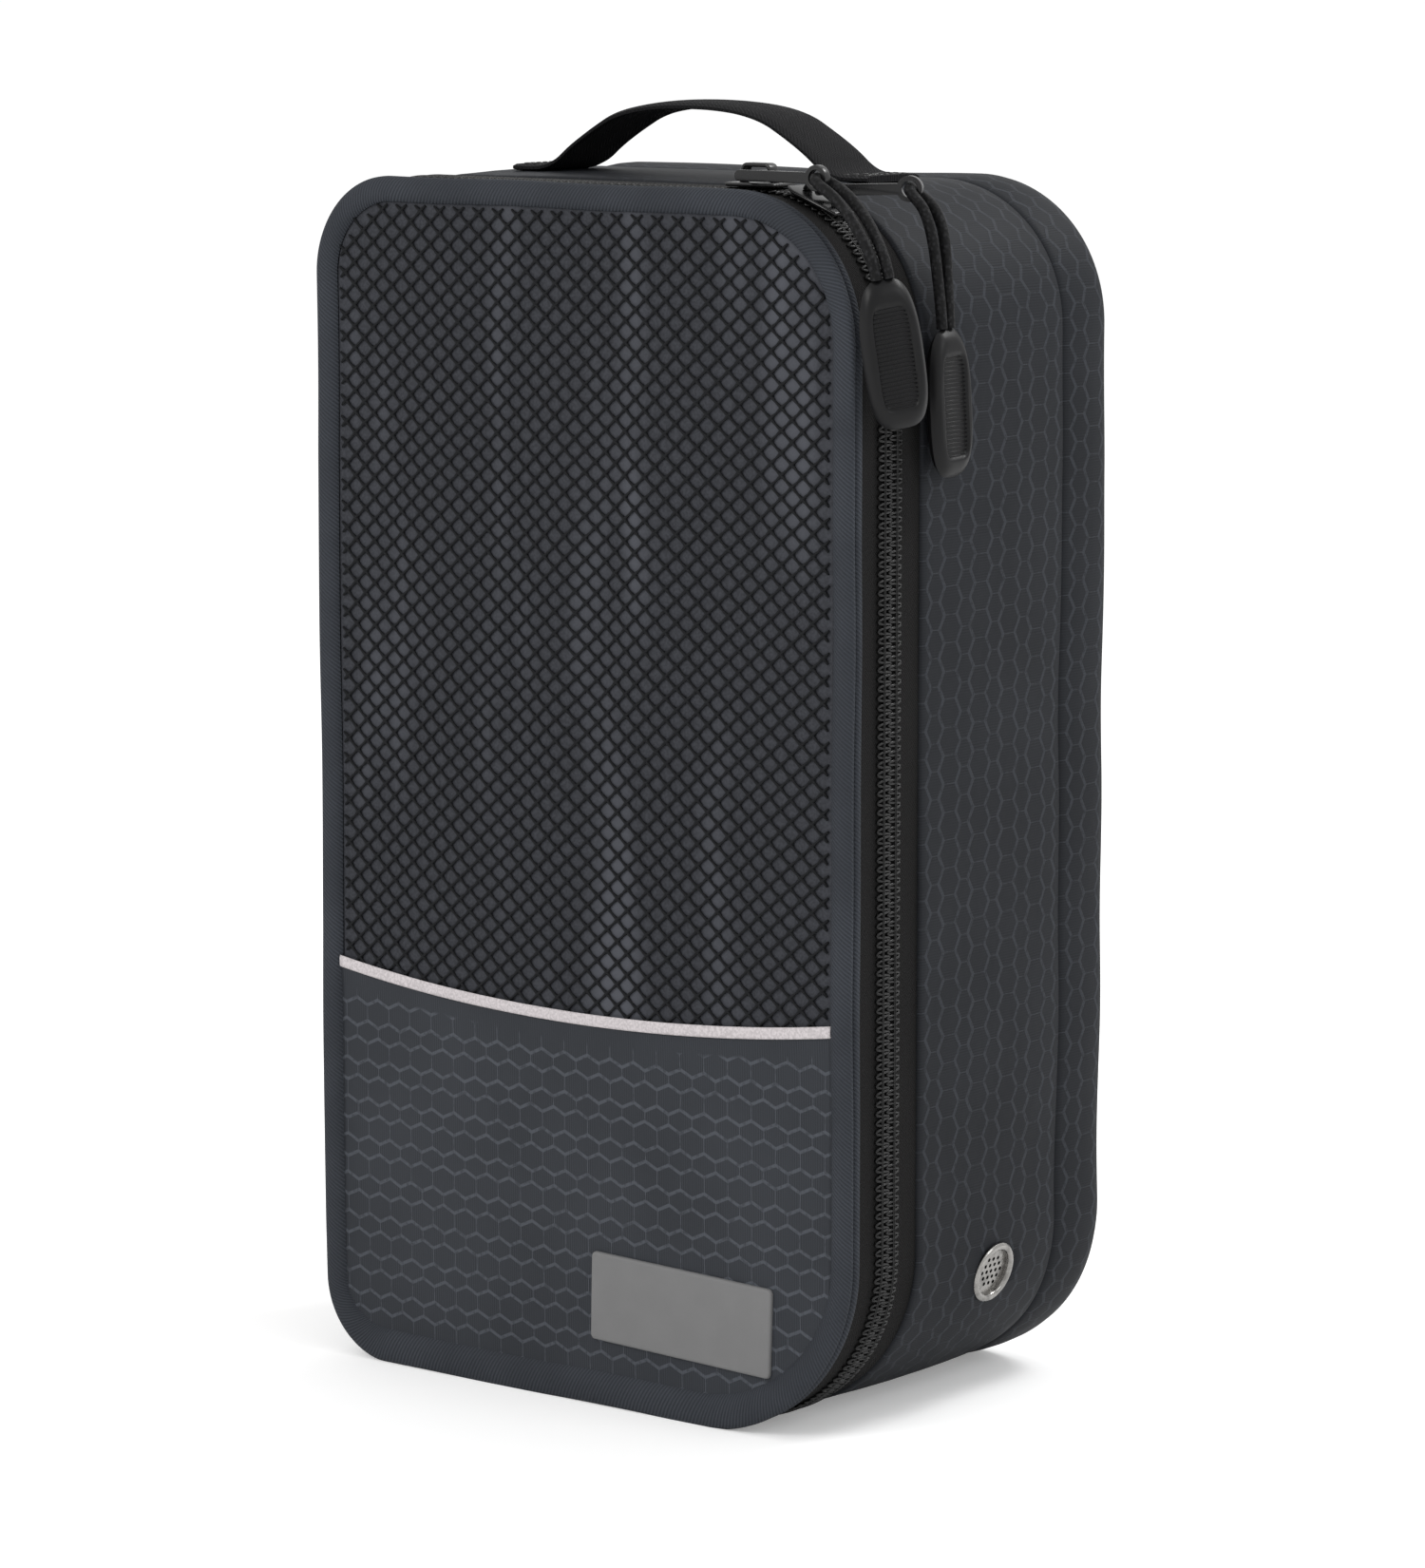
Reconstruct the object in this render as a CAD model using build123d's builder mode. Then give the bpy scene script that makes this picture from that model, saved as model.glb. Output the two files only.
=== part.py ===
"""Shoe bag: a stiff-sided upright pouch whose front panel is a zipped lid hinged on the left.

Millimetres. Origin at the bottom centre, +Z up, the front faces -Y, +X is the right side.
"""

import os
from math import acos, asin, cos, degrees, hypot, radians, sin, tan

from build123d import *

# Overall size and outline, as seen from the front
height = 356
width = 198
depth = 127
corner_top_left = 29
corner_top_right = 43
corner_bottom_right = 53
corner_bottom_left = 24
wall = 2.0

# Bands from front to back
piping_depth = 2.7
piping_roll = 7.0
lid_band_depth = 3.2
zip_behind_front = 19.0
lid_edge_step = 13.1
gusset_front = -30.0
rear_band_width = 23.3
seam_gap = 0.2
back_panel_wall = 2.0

# Zipper
tape_inset = 1.1
tape_thickness = 0.8
coil_row_width = 4.0
coil_gap = 2.4
coil_rise = 0.0
tape_seat = 0.1
chain_end = 40.0
stop_length = 3.0

# Side hinge of the lid
hinge_outset = 0.5
hinge_strip_gap = 0.3

# Front panels
panel_wall = 0.8
lining_wall = 0.6
lower_panel_wall = 1.5
panel_recess = 1.0
panel_fit = 0.25
trim_width = 3.5
trim_wall = 0.6
trim_left_z = 122.0
trim_middle_z = 114.5
trim_right_z = 122.0
hem_below_trim = 0.3
patch_left = 5.5
patch_right = 71.5
patch_low = 18.5
patch_high = 45.0
patch_turn = -2.0
patch_wall = 1.2

# Seam bindings inside
binding_width = 7.0
binding_wall = 1.6
binding_fit = 0.2

# Handle
webbing_width = 25.0
webbing_thickness = 2.0
handle_foot = 66.0
handle_bend = 52.0
handle_shoulder = 42.0
handle_shoulder_rise = 10.0
handle_crest_half = 22.0
handle_crest_rise = 21.0
handle_split = 39.0
body_gap = 0.3
handle_patch_margin = 6.0
handle_patch_wall = 1.2

# Vent eyelets
eyelet_y = 8.0
eyelet_z = 40.0
eyelet_flange = 18.2
eyelet_dish = 13.8
eyelet_barrel = 15.0
eyelet_flange_thickness = 1.2
eyelet_hole_fit = 0.2
eyelet_stand = 0.6
grille_fit = 0.1
grille_thickness = 0.8
grille_depth = 0.6
grille_hole = 1.2
grille_pitch = 2.2
washer_wall = 0.8
washer_gap = 1.2

# Sliders
slider_length = 18.0
slider_nose = 9.0
slider_width = 13.0
slider_wing = 1.2
slider_over_coil = 0.3
slider_under_tape = 1.3
slider_post = 1.6
slider_post_length = 3.0
slider_a_before_corner = 4.0
slider_b_angle = 24.0
bail_half_width = 2.0
bail_reach = 11.0
bail_window = 4.3
bail_bar = 1.2

# Pullers, cords and grips
pin_diameter = 2.4
pin_rise = 2.3
puller_wall = 2.4
puller_bar_height = 3.2
puller_eye = 7.4
puller_hole = 4.7
puller_a_y = -54.2
puller_a_reach = 27.0
puller_b_y = -36.0
puller_b_end = (18.0, 7.5, 0.5)
cord_diameter = 3.2
grip_length = 42.0
grip_width = 18.0
grip_thickness = 5.5
grip_turn_a = 35.0
grip_turn_b = 0.0
grip_lean_a = (-3.0, -6.0, 42.0)
grip_lean_b = (-1.0, -2.0, 42.0)
grip_a_x = 105.5
grip_a_y = -58.0
grip_a_drop = 23.0
grip_b_x = 103.5
grip_b_y = -25.5
grip_b_drop = 38.5
cord_lead = 6.5
rib_depth = 0.7
rib_width = 1.2
rib_count = 9

# Positions that follow from the sizes above
front = -depth / 2
rear = depth / 2
piping_back = front + piping_depth
lid_band_back = piping_back + lid_band_depth
zip_y = front + zip_behind_front
rear_band_front = rear - rear_band_width
side = width / 2
coil_inner = coil_gap / 2
coil_outer = coil_inner + coil_row_width
tape_inner = tape_inset + tape_thickness
corner_x = side - corner_top_right
corner_z = height - corner_top_right


def outline(inset):
    """The bag's outline seen from the front, drawn below its skin by the inset."""
    left, right, low, high = inset - side, side - inset, inset, height - inset
    top_left = corner_top_left - inset
    top_right = corner_top_right - inset
    low_right = corner_bottom_right - inset
    low_left = corner_bottom_left - inset
    with BuildSketch() as face:
        with BuildLine():
            Line((left + top_left, high), (right - top_right, high))
            CenterArc((right - top_right, high - top_right), top_right, 90, -90)
            Line((right, high - top_right), (right, low + low_right))
            CenterArc((right - low_right, low + low_right), low_right, 0, -90)
            Line((right - low_right, low), (left + low_left, low))
            CenterArc((left + low_left, low + low_left), low_left, 270, -90)
            Line((left, low + low_left), (left, high - top_left))
            CenterArc((left + top_left, high - top_left), top_left, 180, -90)
        make_face()
    return face.sketch


def hoop(y_front, y_rear, outer, inner=None):
    """A band round the bag between two insets, or a full plate where there is no inner one."""
    with BuildPart() as band:
        with BuildSketch(Plane.XZ.offset(-y_rear)):
            add(outline(outer))
            if inner is not None:
                add(outline(inner), mode=Mode.SUBTRACT)
        extrude(amount=y_rear - y_front)
    return band.part


def block(x_range, y_range, z_range):
    """A plain box between three pairs of limits."""
    with BuildPart() as box:
        with BuildSketch(Plane.XY.offset(z_range[0])):
            with Locations(((x_range[0] + x_range[1]) / 2, (y_range[0] + y_range[1]) / 2)):
                Rectangle(x_range[1] - x_range[0], y_range[1] - y_range[0])
        extrude(amount=z_range[1] - z_range[0])
    return box.part


def trim_points(offset):
    """Three points of the curved line of the trim tape across the front, moved up by the offset."""
    heights = (trim_left_z, trim_middle_z, trim_right_z)
    return [(x, z + offset) for x, z in zip((-side, 0, side), heights)]


def trim_region(low, high):
    """The part of the front between two offsets from the trim line, or to its end where one is None."""
    with BuildSketch() as region:
        with BuildLine():
            if low is None:
                bottom = Line((-side, -depth), (side, -depth))
            else:
                bottom = ThreePointArc(*trim_points(low))
            if high is None:
                top = Line((-side, height + depth), (side, height + depth))
            else:
                top = ThreePointArc(*trim_points(high))
            Line(bottom @ 0, top @ 0)
            Line(bottom @ 1, top @ 1)
        make_face()
    return region.sketch


def corner_radii(points, most=30.0):
    """A bend radius for each inner point, 0.45 of the shorter run over the tangent of half the turn."""
    radii = []
    for a, b, c in zip(points, points[1:], points[2:]):
        before, after = Vector(*b) - Vector(*a), Vector(*c) - Vector(*b)
        turn = acos(max(-1, min(1, before.normalized().dot(after.normalized()))))
        radii.append(min(most, 0.45 * min(before.length, after.length) / tan(turn / 2)))
    print("radii", [round(r, 2) for r in radii])
    return radii


def label_and_write(part, name):
    """Names the solid and writes its file."""
    part.label = name
    export_step(part, f"parts/{name}.step")


os.makedirs("parts", exist_ok=True)

# ---- Body shell ----
chain_low, chain_high = chain_end, height - chain_end
left_gap = block((-side - 5, -side + 8), (front - 1, rear), (chain_low, chain_high))
strip_gap = block((-side - 5, -side + 8), (front - 1, rear), (chain_low + seam_gap, chain_high - seam_gap))

# The right eyelet sits where the side turns into the bottom corner, square to the skin there
eyelet_tilt = 0.0
if eyelet_z < corner_bottom_right:
    eyelet_tilt = degrees(asin((corner_bottom_right - eyelet_z) / corner_bottom_right))
eyelet_right_x = side - corner_bottom_right * (1 - cos(radians(eyelet_tilt)))
eyelet_left_tilt = 0.0
if eyelet_z < corner_bottom_left:
    eyelet_left_tilt = degrees(asin((corner_bottom_left - eyelet_z) / corner_bottom_left))
eyelet_left_x = -side + corner_bottom_left * (1 - cos(radians(eyelet_left_tilt)))
eyelet_planes = {
    "right": Plane(
        origin=(eyelet_right_x, eyelet_y, eyelet_z),
        x_dir=(0, 1, 0),
        z_dir=(cos(radians(eyelet_tilt)), 0, -sin(radians(eyelet_tilt))),
    ),
    "left": Plane(
        origin=(eyelet_left_x, eyelet_y, eyelet_z),
        x_dir=(0, 1, 0),
        z_dir=(-cos(radians(eyelet_left_tilt)), 0, -sin(radians(eyelet_left_tilt))),
    ),
}

with BuildPart() as main_gusset:
    add(hoop(gusset_front, rear_band_front - seam_gap, 0, wall))
    for eyelet_plane in eyelet_planes.values():
        with BuildSketch(eyelet_plane.offset(4)):
            Circle(eyelet_barrel / 2 + eyelet_hole_fit)
        extrude(amount=-12, mode=Mode.SUBTRACT)
label_and_write(main_gusset.part, "main_gusset")

with BuildPart() as rear_band:
    add(hoop(rear_band_front, rear, 0, wall))
label_and_write(rear_band.part, "rear_band")

with BuildPart() as back_panel:
    add(hoop(rear - back_panel_wall, rear, wall + binding_fit))
label_and_write(back_panel.part, "back_panel")

binding_inset = wall + binding_fit
with BuildPart() as mid_binding:
    add(
        hoop(
            rear_band_front - binding_width / 2,
            rear_band_front + binding_width / 2,
            binding_inset,
            binding_inset + binding_wall,
        )
    )
label_and_write(mid_binding.part, "mid_binding")

with BuildPart() as back_binding:
    add(
        hoop(
            rear - back_panel_wall - binding_fit - binding_width,
            rear - back_panel_wall - binding_fit,
            binding_inset,
            binding_inset + binding_wall,
        )
    )
label_and_write(back_binding.part, "back_binding")

# The slider's lower wing passes in front of this binding
with BuildPart() as zip_binding:
    add(
        hoop(
            gusset_front - binding_fit,
            gusset_front + binding_width,
            binding_inset,
            binding_inset + binding_wall,
        )
    )
label_and_write(zip_binding.part, "zip_binding")

# ---- Zipper, with the lid closed ----
coil_bottom = tape_inset - tape_seat
with BuildPart() as rear_tape:
    add(hoop(zip_y + coil_inner, gusset_front - seam_gap, tape_inset, tape_inner))
    add(left_gap, mode=Mode.SUBTRACT)
label_and_write(rear_tape.part, "rear_tape")

with BuildPart() as rear_coil:
    add(hoop(zip_y + coil_inner, zip_y + coil_outer, -coil_rise, coil_bottom))
    add(left_gap, mode=Mode.SUBTRACT)
label_and_write(rear_coil.part, "rear_coil")

with BuildPart() as hinge_strip:
    add(hoop(zip_y + hinge_strip_gap, gusset_front - seam_gap, tape_inset, tape_inner))
    add(strip_gap, mode=Mode.INTERSECT)
label_and_write(hinge_strip.part, "hinge_strip")

with BuildPart() as lid_tape:
    add(hoop(lid_band_back + seam_gap, zip_y - coil_inner, tape_inset, tape_inner))
    add(left_gap, mode=Mode.SUBTRACT)
label_and_write(lid_tape.part, "lid_tape")

with BuildPart() as lid_coil:
    add(hoop(zip_y - coil_outer, zip_y - coil_inner, -coil_rise, coil_bottom))
    add(left_gap, mode=Mode.SUBTRACT)
label_and_write(lid_coil.part, "lid_coil")

with BuildPart() as lid_hinge_strip:
    add(hoop(lid_band_back + seam_gap, zip_y - hinge_strip_gap, tape_inset, tape_inner))
    add(strip_gap, mode=Mode.INTERSECT)
label_and_write(lid_hinge_strip.part, "lid_hinge_strip")

# Stitched end stops close each end of the chain on the body's side
with BuildPart() as chain_stops:
    for stop_z in (chain_low + seam_gap, chain_high - stop_length - seam_gap):
        add(
            block(
                (-side - coil_rise, -side + coil_bottom),
                (zip_y + coil_inner, zip_y + coil_outer),
                (stop_z, stop_z + stop_length),
            )
        )
label_and_write(chain_stops.part, "chain_stops")

# ---- Lid ----
with BuildPart() as front_piping:
    add(hoop(front, piping_back, 0, piping_roll))
    front_edges = front_piping.edges().filter_by_position(Axis.Y, front - 0.01, front + 0.01)
    chamfer(front_edges, length=piping_depth / 3)
label_and_write(front_piping.part, "front_piping")

with BuildPart() as lid_band:
    add(hoop(piping_back + seam_gap, lid_band_back, 0, wall))
label_and_write(lid_band.part, "lid_band")

with BuildPart() as lid_binding:
    add(
        hoop(
            piping_back + seam_gap,
            lid_band_back + seam_gap,
            binding_inset,
            binding_inset + binding_wall,
        )
    )
label_and_write(lid_binding.part, "lid_binding")

panel_front = front + panel_recess
panel_inset = piping_roll + panel_fit
trim_half = trim_width / 2
with BuildPart() as mesh_panel:
    with BuildSketch(Plane.XZ.offset(-panel_front - panel_wall)):
        add(outline(panel_inset))
        add(trim_region(-trim_half, None), mode=Mode.INTERSECT)
    extrude(amount=panel_wall)
label_and_write(mesh_panel.part, "mesh_panel")

lining_front = panel_front + panel_wall + seam_gap
with BuildPart() as mesh_lining:
    with BuildSketch(Plane.XZ.offset(-lining_front - lining_wall)):
        add(outline(panel_inset))
        add(trim_region(-trim_half, None), mode=Mode.INTERSECT)
    extrude(amount=lining_wall)
label_and_write(mesh_lining.part, "mesh_lining")

with BuildPart() as lower_front_panel:
    with BuildSketch(Plane.XZ.offset(-panel_front - lower_panel_wall)):
        add(outline(panel_inset))
        add(trim_region(None, -trim_half - hem_below_trim), mode=Mode.INTERSECT)
    extrude(amount=lower_panel_wall)
label_and_write(lower_front_panel.part, "lower_front_panel")

with BuildPart() as trim_tape:
    with BuildSketch(Plane.XZ.offset(-panel_front)):
        add(outline(panel_inset))
        add(trim_region(-trim_half, trim_half), mode=Mode.INTERSECT)
    extrude(amount=trim_wall)
label_and_write(trim_tape.part, "trim_tape")

with BuildPart() as label_patch:
    with BuildSketch(Plane.XZ.offset(-panel_front)):
        with Locations(((patch_left + patch_right) / 2, (patch_low + patch_high) / 2)):
            Rectangle(patch_right - patch_left, patch_high - patch_low, rotation=patch_turn)
    extrude(amount=patch_wall)
label_and_write(label_patch.part, "label_patch")

# ---- Handle ----
handle_lift = webbing_thickness / 2 + seam_gap
handle_half = [
    (handle_foot, height + handle_lift),
    (handle_bend, height + handle_lift),
    (handle_shoulder, height + handle_shoulder_rise),
    (handle_crest_half, height + handle_crest_rise),
]
handle_points = [(-x, z) for x, z in handle_half] + handle_half[::-1]
with BuildPart() as whole_handle:
    with BuildSketch(Plane.XZ.offset(-webbing_width / 2)):
        with BuildLine():
            FilletPolyline(*handle_points, radius=corner_radii(handle_points))
        trace(line_width=webbing_thickness)
    extrude(amount=webbing_width)

handle_top = height + 2 * handle_crest_rise
loop_edge = handle_split - body_gap / 2
foot_edge = handle_split + body_gap / 2
middle_region = block((-loop_edge, loop_edge), (-depth, depth), (height - 10, handle_top))
left_region = block((-side, -foot_edge), (-depth, depth), (height - 10, handle_top))
right_region = block((foot_edge, side), (-depth, depth), (height - 10, handle_top))
for name, region in (
    ("handle_strap", middle_region),
    ("handle_left_end", left_region),
    ("handle_right_end", right_region),
):
    with BuildPart() as handle_piece:
        add(whole_handle.part)
        add(region, mode=Mode.INTERSECT)
    label_and_write(handle_piece.part, name)

with BuildPart() as handle_patch:
    add(
        block(
            (-handle_foot - handle_patch_margin, corner_x - body_gap),
            (-webbing_width / 2 - handle_patch_margin, webbing_width / 2 + handle_patch_margin),
            (height - binding_inset - handle_patch_wall, height - binding_inset),
        )
    )
label_and_write(handle_patch.part, "handle_patch")

# ---- Vent eyelets ----
for name, plane in eyelet_planes.items():
    with BuildPart() as eyelet:
        with BuildSketch(plane.offset(eyelet_stand)):
            Circle(eyelet_flange / 2)
            Circle(eyelet_dish / 2, mode=Mode.SUBTRACT)
        extrude(amount=eyelet_flange_thickness)
        with BuildSketch(plane.offset(eyelet_stand)):
            Circle(eyelet_barrel / 2)
            Circle(eyelet_dish / 2, mode=Mode.SUBTRACT)
        extrude(amount=-eyelet_stand - wall - washer_gap - washer_wall)
    label_and_write(eyelet.part, f"vent_eyelet_{name}")

    with BuildPart() as grille:
        with BuildSketch(plane.offset(eyelet_stand - grille_depth)):
            Circle(eyelet_dish / 2 - grille_fit)
            hole_places = [
                ((column + row % 2 / 2) * grille_pitch, row * grille_pitch * sin(radians(60)))
                for row in range(-2, 3)
                for column in range(-3, 4)
            ]
            with Locations(*[p for p in hole_places if hypot(*p) < 2.2 * grille_pitch]):
                Circle(grille_hole / 2, mode=Mode.SUBTRACT)
        extrude(amount=-grille_thickness)
    label_and_write(grille.part, f"vent_grille_{name}")

    with BuildPart() as washer:
        with BuildSketch(plane.offset(-wall - washer_gap)):
            Circle(eyelet_flange / 2)
            Circle(eyelet_barrel / 2 + eyelet_hole_fit, mode=Mode.SUBTRACT)
        extrude(amount=-washer_wall)
    label_and_write(washer.part, f"vent_washer_{name}")

# ---- Sliders, drawn flat over the origin and then set on the chain ----
wing_low = coil_rise + slider_over_coil
wing_high = wing_low + slider_wing
under_high = -tape_inner - slider_under_tape
under_low = under_high - slider_wing
half = slider_length / 2


def slider_sketch():
    """The slider seen from above: wide at the post end, narrowing to the nose."""
    with BuildSketch() as shape:
        with BuildLine():
            Polyline(
                (-half, -slider_nose / 2),
                (half - slider_post_length, -slider_width / 2),
                (half, -slider_width / 2 + 1.5),
                (half, slider_width / 2 - 1.5),
                (half - slider_post_length, slider_width / 2),
                (-half, slider_nose / 2),
                close=True,
            )
        make_face()
    return shape.sketch


def slider_body():
    """Two wings, one over the coil and one under the tape, joined by the post between the rows."""
    with BuildPart() as body:
        with BuildSketch(Plane.XY.offset(wing_low)):
            add(slider_sketch())
        extrude(amount=slider_wing)
        with BuildSketch(Plane.XY.offset(under_low)):
            add(slider_sketch())
        extrude(amount=slider_wing)
        with BuildSketch(Plane.XY.offset(under_low)):
            with Locations((half - slider_post_length, 0)):
                Rectangle(slider_post_length, slider_post)
        extrude(amount=wing_high - under_low)
    return body.part


def slider_bail():
    """The arch over the slider that the puller's pin passes under."""
    with BuildPart() as bail:
        with BuildSketch(Plane.XZ.offset(-bail_half_width)):
            with BuildLine():
                FilletPolyline(
                    (-bail_reach / 2, wing_high),
                    (-bail_reach / 2 + 1, wing_high + bail_window + bail_bar / 2),
                    (bail_reach / 2 - 1, wing_high + bail_window + bail_bar / 2),
                    (bail_reach / 2, wing_high),
                    radius=1.5,
                )
            trace(line_width=bail_bar)
            with Locations((0, wing_high - bail_bar)):
                Rectangle(3 * bail_reach, 2 * bail_bar, mode=Mode.SUBTRACT)
        extrude(amount=2 * bail_half_width)
    return bail.part


slider_a_x = corner_x - slider_a_before_corner
slider_a_place = Location((slider_a_x, zip_y, height))
slider_b_turn = radians(slider_b_angle)
slider_b_place = Location(
    (
        corner_x + corner_top_right * sin(slider_b_turn),
        zip_y,
        corner_z + corner_top_right * cos(slider_b_turn),
    ),
    (0, slider_b_angle, 0),
)
# The post end of each slider faces the other slider
facing_left = Location((0, 0, 0), (0, 0, 180))
for name, place, facing in (
    ("slider_a", slider_a_place, Location()),
    ("slider_b", slider_b_place, facing_left),
):
    with BuildPart() as placed_body:
        add((place * facing) * slider_body())
    label_and_write(placed_body.part, f"{name}_body")
    with BuildPart() as placed_bail:
        add(place * slider_bail())
    label_and_write(placed_bail.part, f"{name}_bail")

# ---- Pullers ----
pin_height = wing_high + pin_rise


def puller(pin_from, pin_to, plate_plane, reach):
    """A pin along Y, and a flat bar from it to an eye at the end of its reach."""
    with BuildPart() as piece:
        with BuildSketch(plate_plane.offset(-puller_wall / 2)):
            with Locations((reach / 2, 0)):
                Rectangle(reach, puller_bar_height)
            Circle(puller_bar_height / 2)
            with Locations((reach, 0)):
                Circle(puller_eye / 2)
                Circle(puller_hole / 2, mode=Mode.SUBTRACT)
        extrude(amount=puller_wall)
        with BuildSketch(Plane(origin=pin_from, x_dir=(1, 0, 0), z_dir=(0, 1, 0))):
            Circle(pin_diameter / 2)
        extrude(amount=pin_to - pin_from[1])
    return piece.part


pin_a = (slider_a_x + 1, height + pin_height)
with BuildPart() as pull_a_puller:
    add(
        puller(
            (pin_a[0], puller_a_y, pin_a[1]),
            zip_y + bail_half_width + 1,
            Plane(origin=(pin_a[0], puller_a_y, pin_a[1]), x_dir=(1, 0, 0), z_dir=(0, -1, 0)),
            puller_a_reach,
        )
    )
label_and_write(pull_a_puller.part, "pull_a_puller")

pin_b_radius = corner_top_right + pin_height
pin_b = (corner_x + pin_b_radius * sin(slider_b_turn), corner_z + pin_b_radius * cos(slider_b_turn))
bar_b = Vector(*puller_b_end)
bar_b_side = Vector(bar_b.Y, -bar_b.X, 0)
with BuildPart() as pull_b_puller:
    add(
        puller(
            (pin_b[0], zip_y - bail_half_width - 1, pin_b[1]),
            puller_b_y,
            Plane(origin=(pin_b[0], puller_b_y, pin_b[1]), x_dir=bar_b, z_dir=bar_b_side),
            bar_b.length,
        )
    )
label_and_write(pull_b_puller.part, "pull_b_puller")


# ---- Grips ----
def grip_frame(top_point, turn, lean):
    """Plane of the grip's broad face through its middle; its local Y runs up the grip."""
    up = Vector(*lean).normalized()
    across = up.cross(Vector(cos(radians(turn)), -sin(radians(turn)), 0)).normalized()
    middle = Vector(*top_point) - up * (grip_length / 2)
    return Plane(origin=middle, x_dir=across, z_dir=across.cross(up))


def grip(frame):
    """A flat rubber grip with a ribbed recess on both broad faces."""
    recess_width, recess_length = grip_width - 7, grip_length - 14
    with BuildPart() as piece:
        with BuildSketch(frame.offset(-grip_thickness / 2)):
            RectangleRounded(grip_width, grip_length, grip_width / 3)
        extrude(amount=grip_thickness)
        for offset, amount in (
            (grip_thickness / 2, -rib_depth),
            (-grip_thickness / 2, rib_depth),
        ):
            with BuildSketch(frame.offset(offset)):
                with GridLocations(0, recess_length / rib_count, 1, rib_count):
                    Rectangle(recess_width, rib_width)
            extrude(amount=amount, mode=Mode.SUBTRACT)
    return piece.part


frame_a = grip_frame((grip_a_x, grip_a_y, height - grip_a_drop), grip_turn_a, grip_lean_a)
with BuildPart() as pull_a_grip:
    add(grip(frame_a))
label_and_write(pull_a_grip.part, "pull_a_grip")

frame_b = grip_frame((grip_b_x, grip_b_y, height - grip_b_drop), grip_turn_b, grip_lean_b)
with BuildPart() as pull_b_grip:
    add(grip(frame_b))
label_and_write(pull_b_grip.part, "pull_b_grip")


# ---- Cords, folded through the eyes with both ends on the grip ----
def cord(points):
    """A round cord along straight runs and bends."""
    with BuildPart() as piece:
        with BuildLine() as path:
            FilletPolyline(*points, radius=corner_radii(points))
        with BuildSketch(Plane(origin=path.line @ 0, z_dir=path.line % 0)):
            Circle(cord_diameter / 2)
        sweep()
    return piece.part


def folded(frame, eye, across_eye, over):
    """Points of a cord from the grip through the eye and back, with its bend over the corner."""
    points = []
    for way in (-1, 1):
        foot = frame.from_local_coords(Vector(way * near, grip_length / 2, 0))
        lead = frame.from_local_coords(Vector(way * near, grip_length / 2 + cord_lead, 0))
        at_eye = Vector(*eye) + across_eye * (way * strand)
        bend = Vector(over[0], at_eye.Y + over[1], over[2])
        points.append([foot, lead, bend, at_eye])
    run = points[0] + points[1][::-1]
    return [(point.X, point.Y, point.Z) for point in run]


eye_a = (pin_a[0] + puller_a_reach, puller_a_y, pin_a[1])
strand = 3.5
near = 1.8
cord_a_points = folded(frame_a, eye_a, Vector(0, 1, 0), (92, -1, height - 2.5))
print("cord a", [tuple(round(v, 1) for v in point) for point in cord_a_points])
with BuildPart() as pull_a_cord:
    add(cord(cord_a_points))
label_and_write(pull_a_cord.part, "pull_a_cord")

eye_b = (pin_b[0] + bar_b.X, puller_b_y + bar_b.Y, pin_b[1] + bar_b.Z)
cord_b_points = folded(frame_b, eye_b, bar_b_side.normalized() * -1, (101, 2.0, height - 7))
print("cord b", [tuple(round(v, 1) for v in point) for point in cord_b_points])
with BuildPart() as pull_b_cord:
    add(cord(cord_b_points))
label_and_write(pull_b_cord.part, "pull_b_cord")
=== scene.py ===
"""Shoe bag: fabric shell, net lid, coil zipper, handle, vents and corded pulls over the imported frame."""

import math

import bpy
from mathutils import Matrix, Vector, noise
from mathutils.bvhtree import BVHTree
from mathutils.interpolate import poly_3d_calc


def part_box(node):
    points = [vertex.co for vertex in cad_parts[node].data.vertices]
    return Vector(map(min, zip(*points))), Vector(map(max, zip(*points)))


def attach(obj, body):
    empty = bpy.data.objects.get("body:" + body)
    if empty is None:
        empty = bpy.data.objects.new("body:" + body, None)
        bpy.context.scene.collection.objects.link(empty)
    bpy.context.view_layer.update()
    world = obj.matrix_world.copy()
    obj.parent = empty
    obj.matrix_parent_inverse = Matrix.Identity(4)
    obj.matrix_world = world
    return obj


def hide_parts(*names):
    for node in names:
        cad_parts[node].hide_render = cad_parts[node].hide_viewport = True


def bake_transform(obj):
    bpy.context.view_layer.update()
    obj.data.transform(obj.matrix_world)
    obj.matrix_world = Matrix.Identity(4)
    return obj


bl_info = {
    "name": "Shoe Bag",
    "version": (1, 0, 0),
    "blender": (4, 5, 0),
    "location": "3D View > Sidebar > Shoe Bag",
    "description": "Builds a zipped shoe bag with a net lid over its packed frame",
    "category": "Object",
}

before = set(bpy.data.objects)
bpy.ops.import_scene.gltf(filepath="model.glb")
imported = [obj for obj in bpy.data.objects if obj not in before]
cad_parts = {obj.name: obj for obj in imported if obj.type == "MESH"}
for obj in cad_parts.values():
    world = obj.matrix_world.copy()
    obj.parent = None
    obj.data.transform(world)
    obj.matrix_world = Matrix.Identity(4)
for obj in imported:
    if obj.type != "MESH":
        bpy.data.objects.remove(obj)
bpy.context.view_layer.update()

MM = 0.001
SHELL_LOW, SHELL_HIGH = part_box("main_gusset")
BAG_WIDTH = SHELL_HIGH.x - SHELL_LOW.x
BAG_HEIGHT = SHELL_HIGH.z
BAG_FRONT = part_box("front_piping")[0].y
BAG_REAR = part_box("rear_band")[1].y
ZIP_Y = (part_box("lid_coil")[0].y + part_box("rear_coil")[1].y) / 2


# ---------------------------------------------------------------- settings


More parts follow.
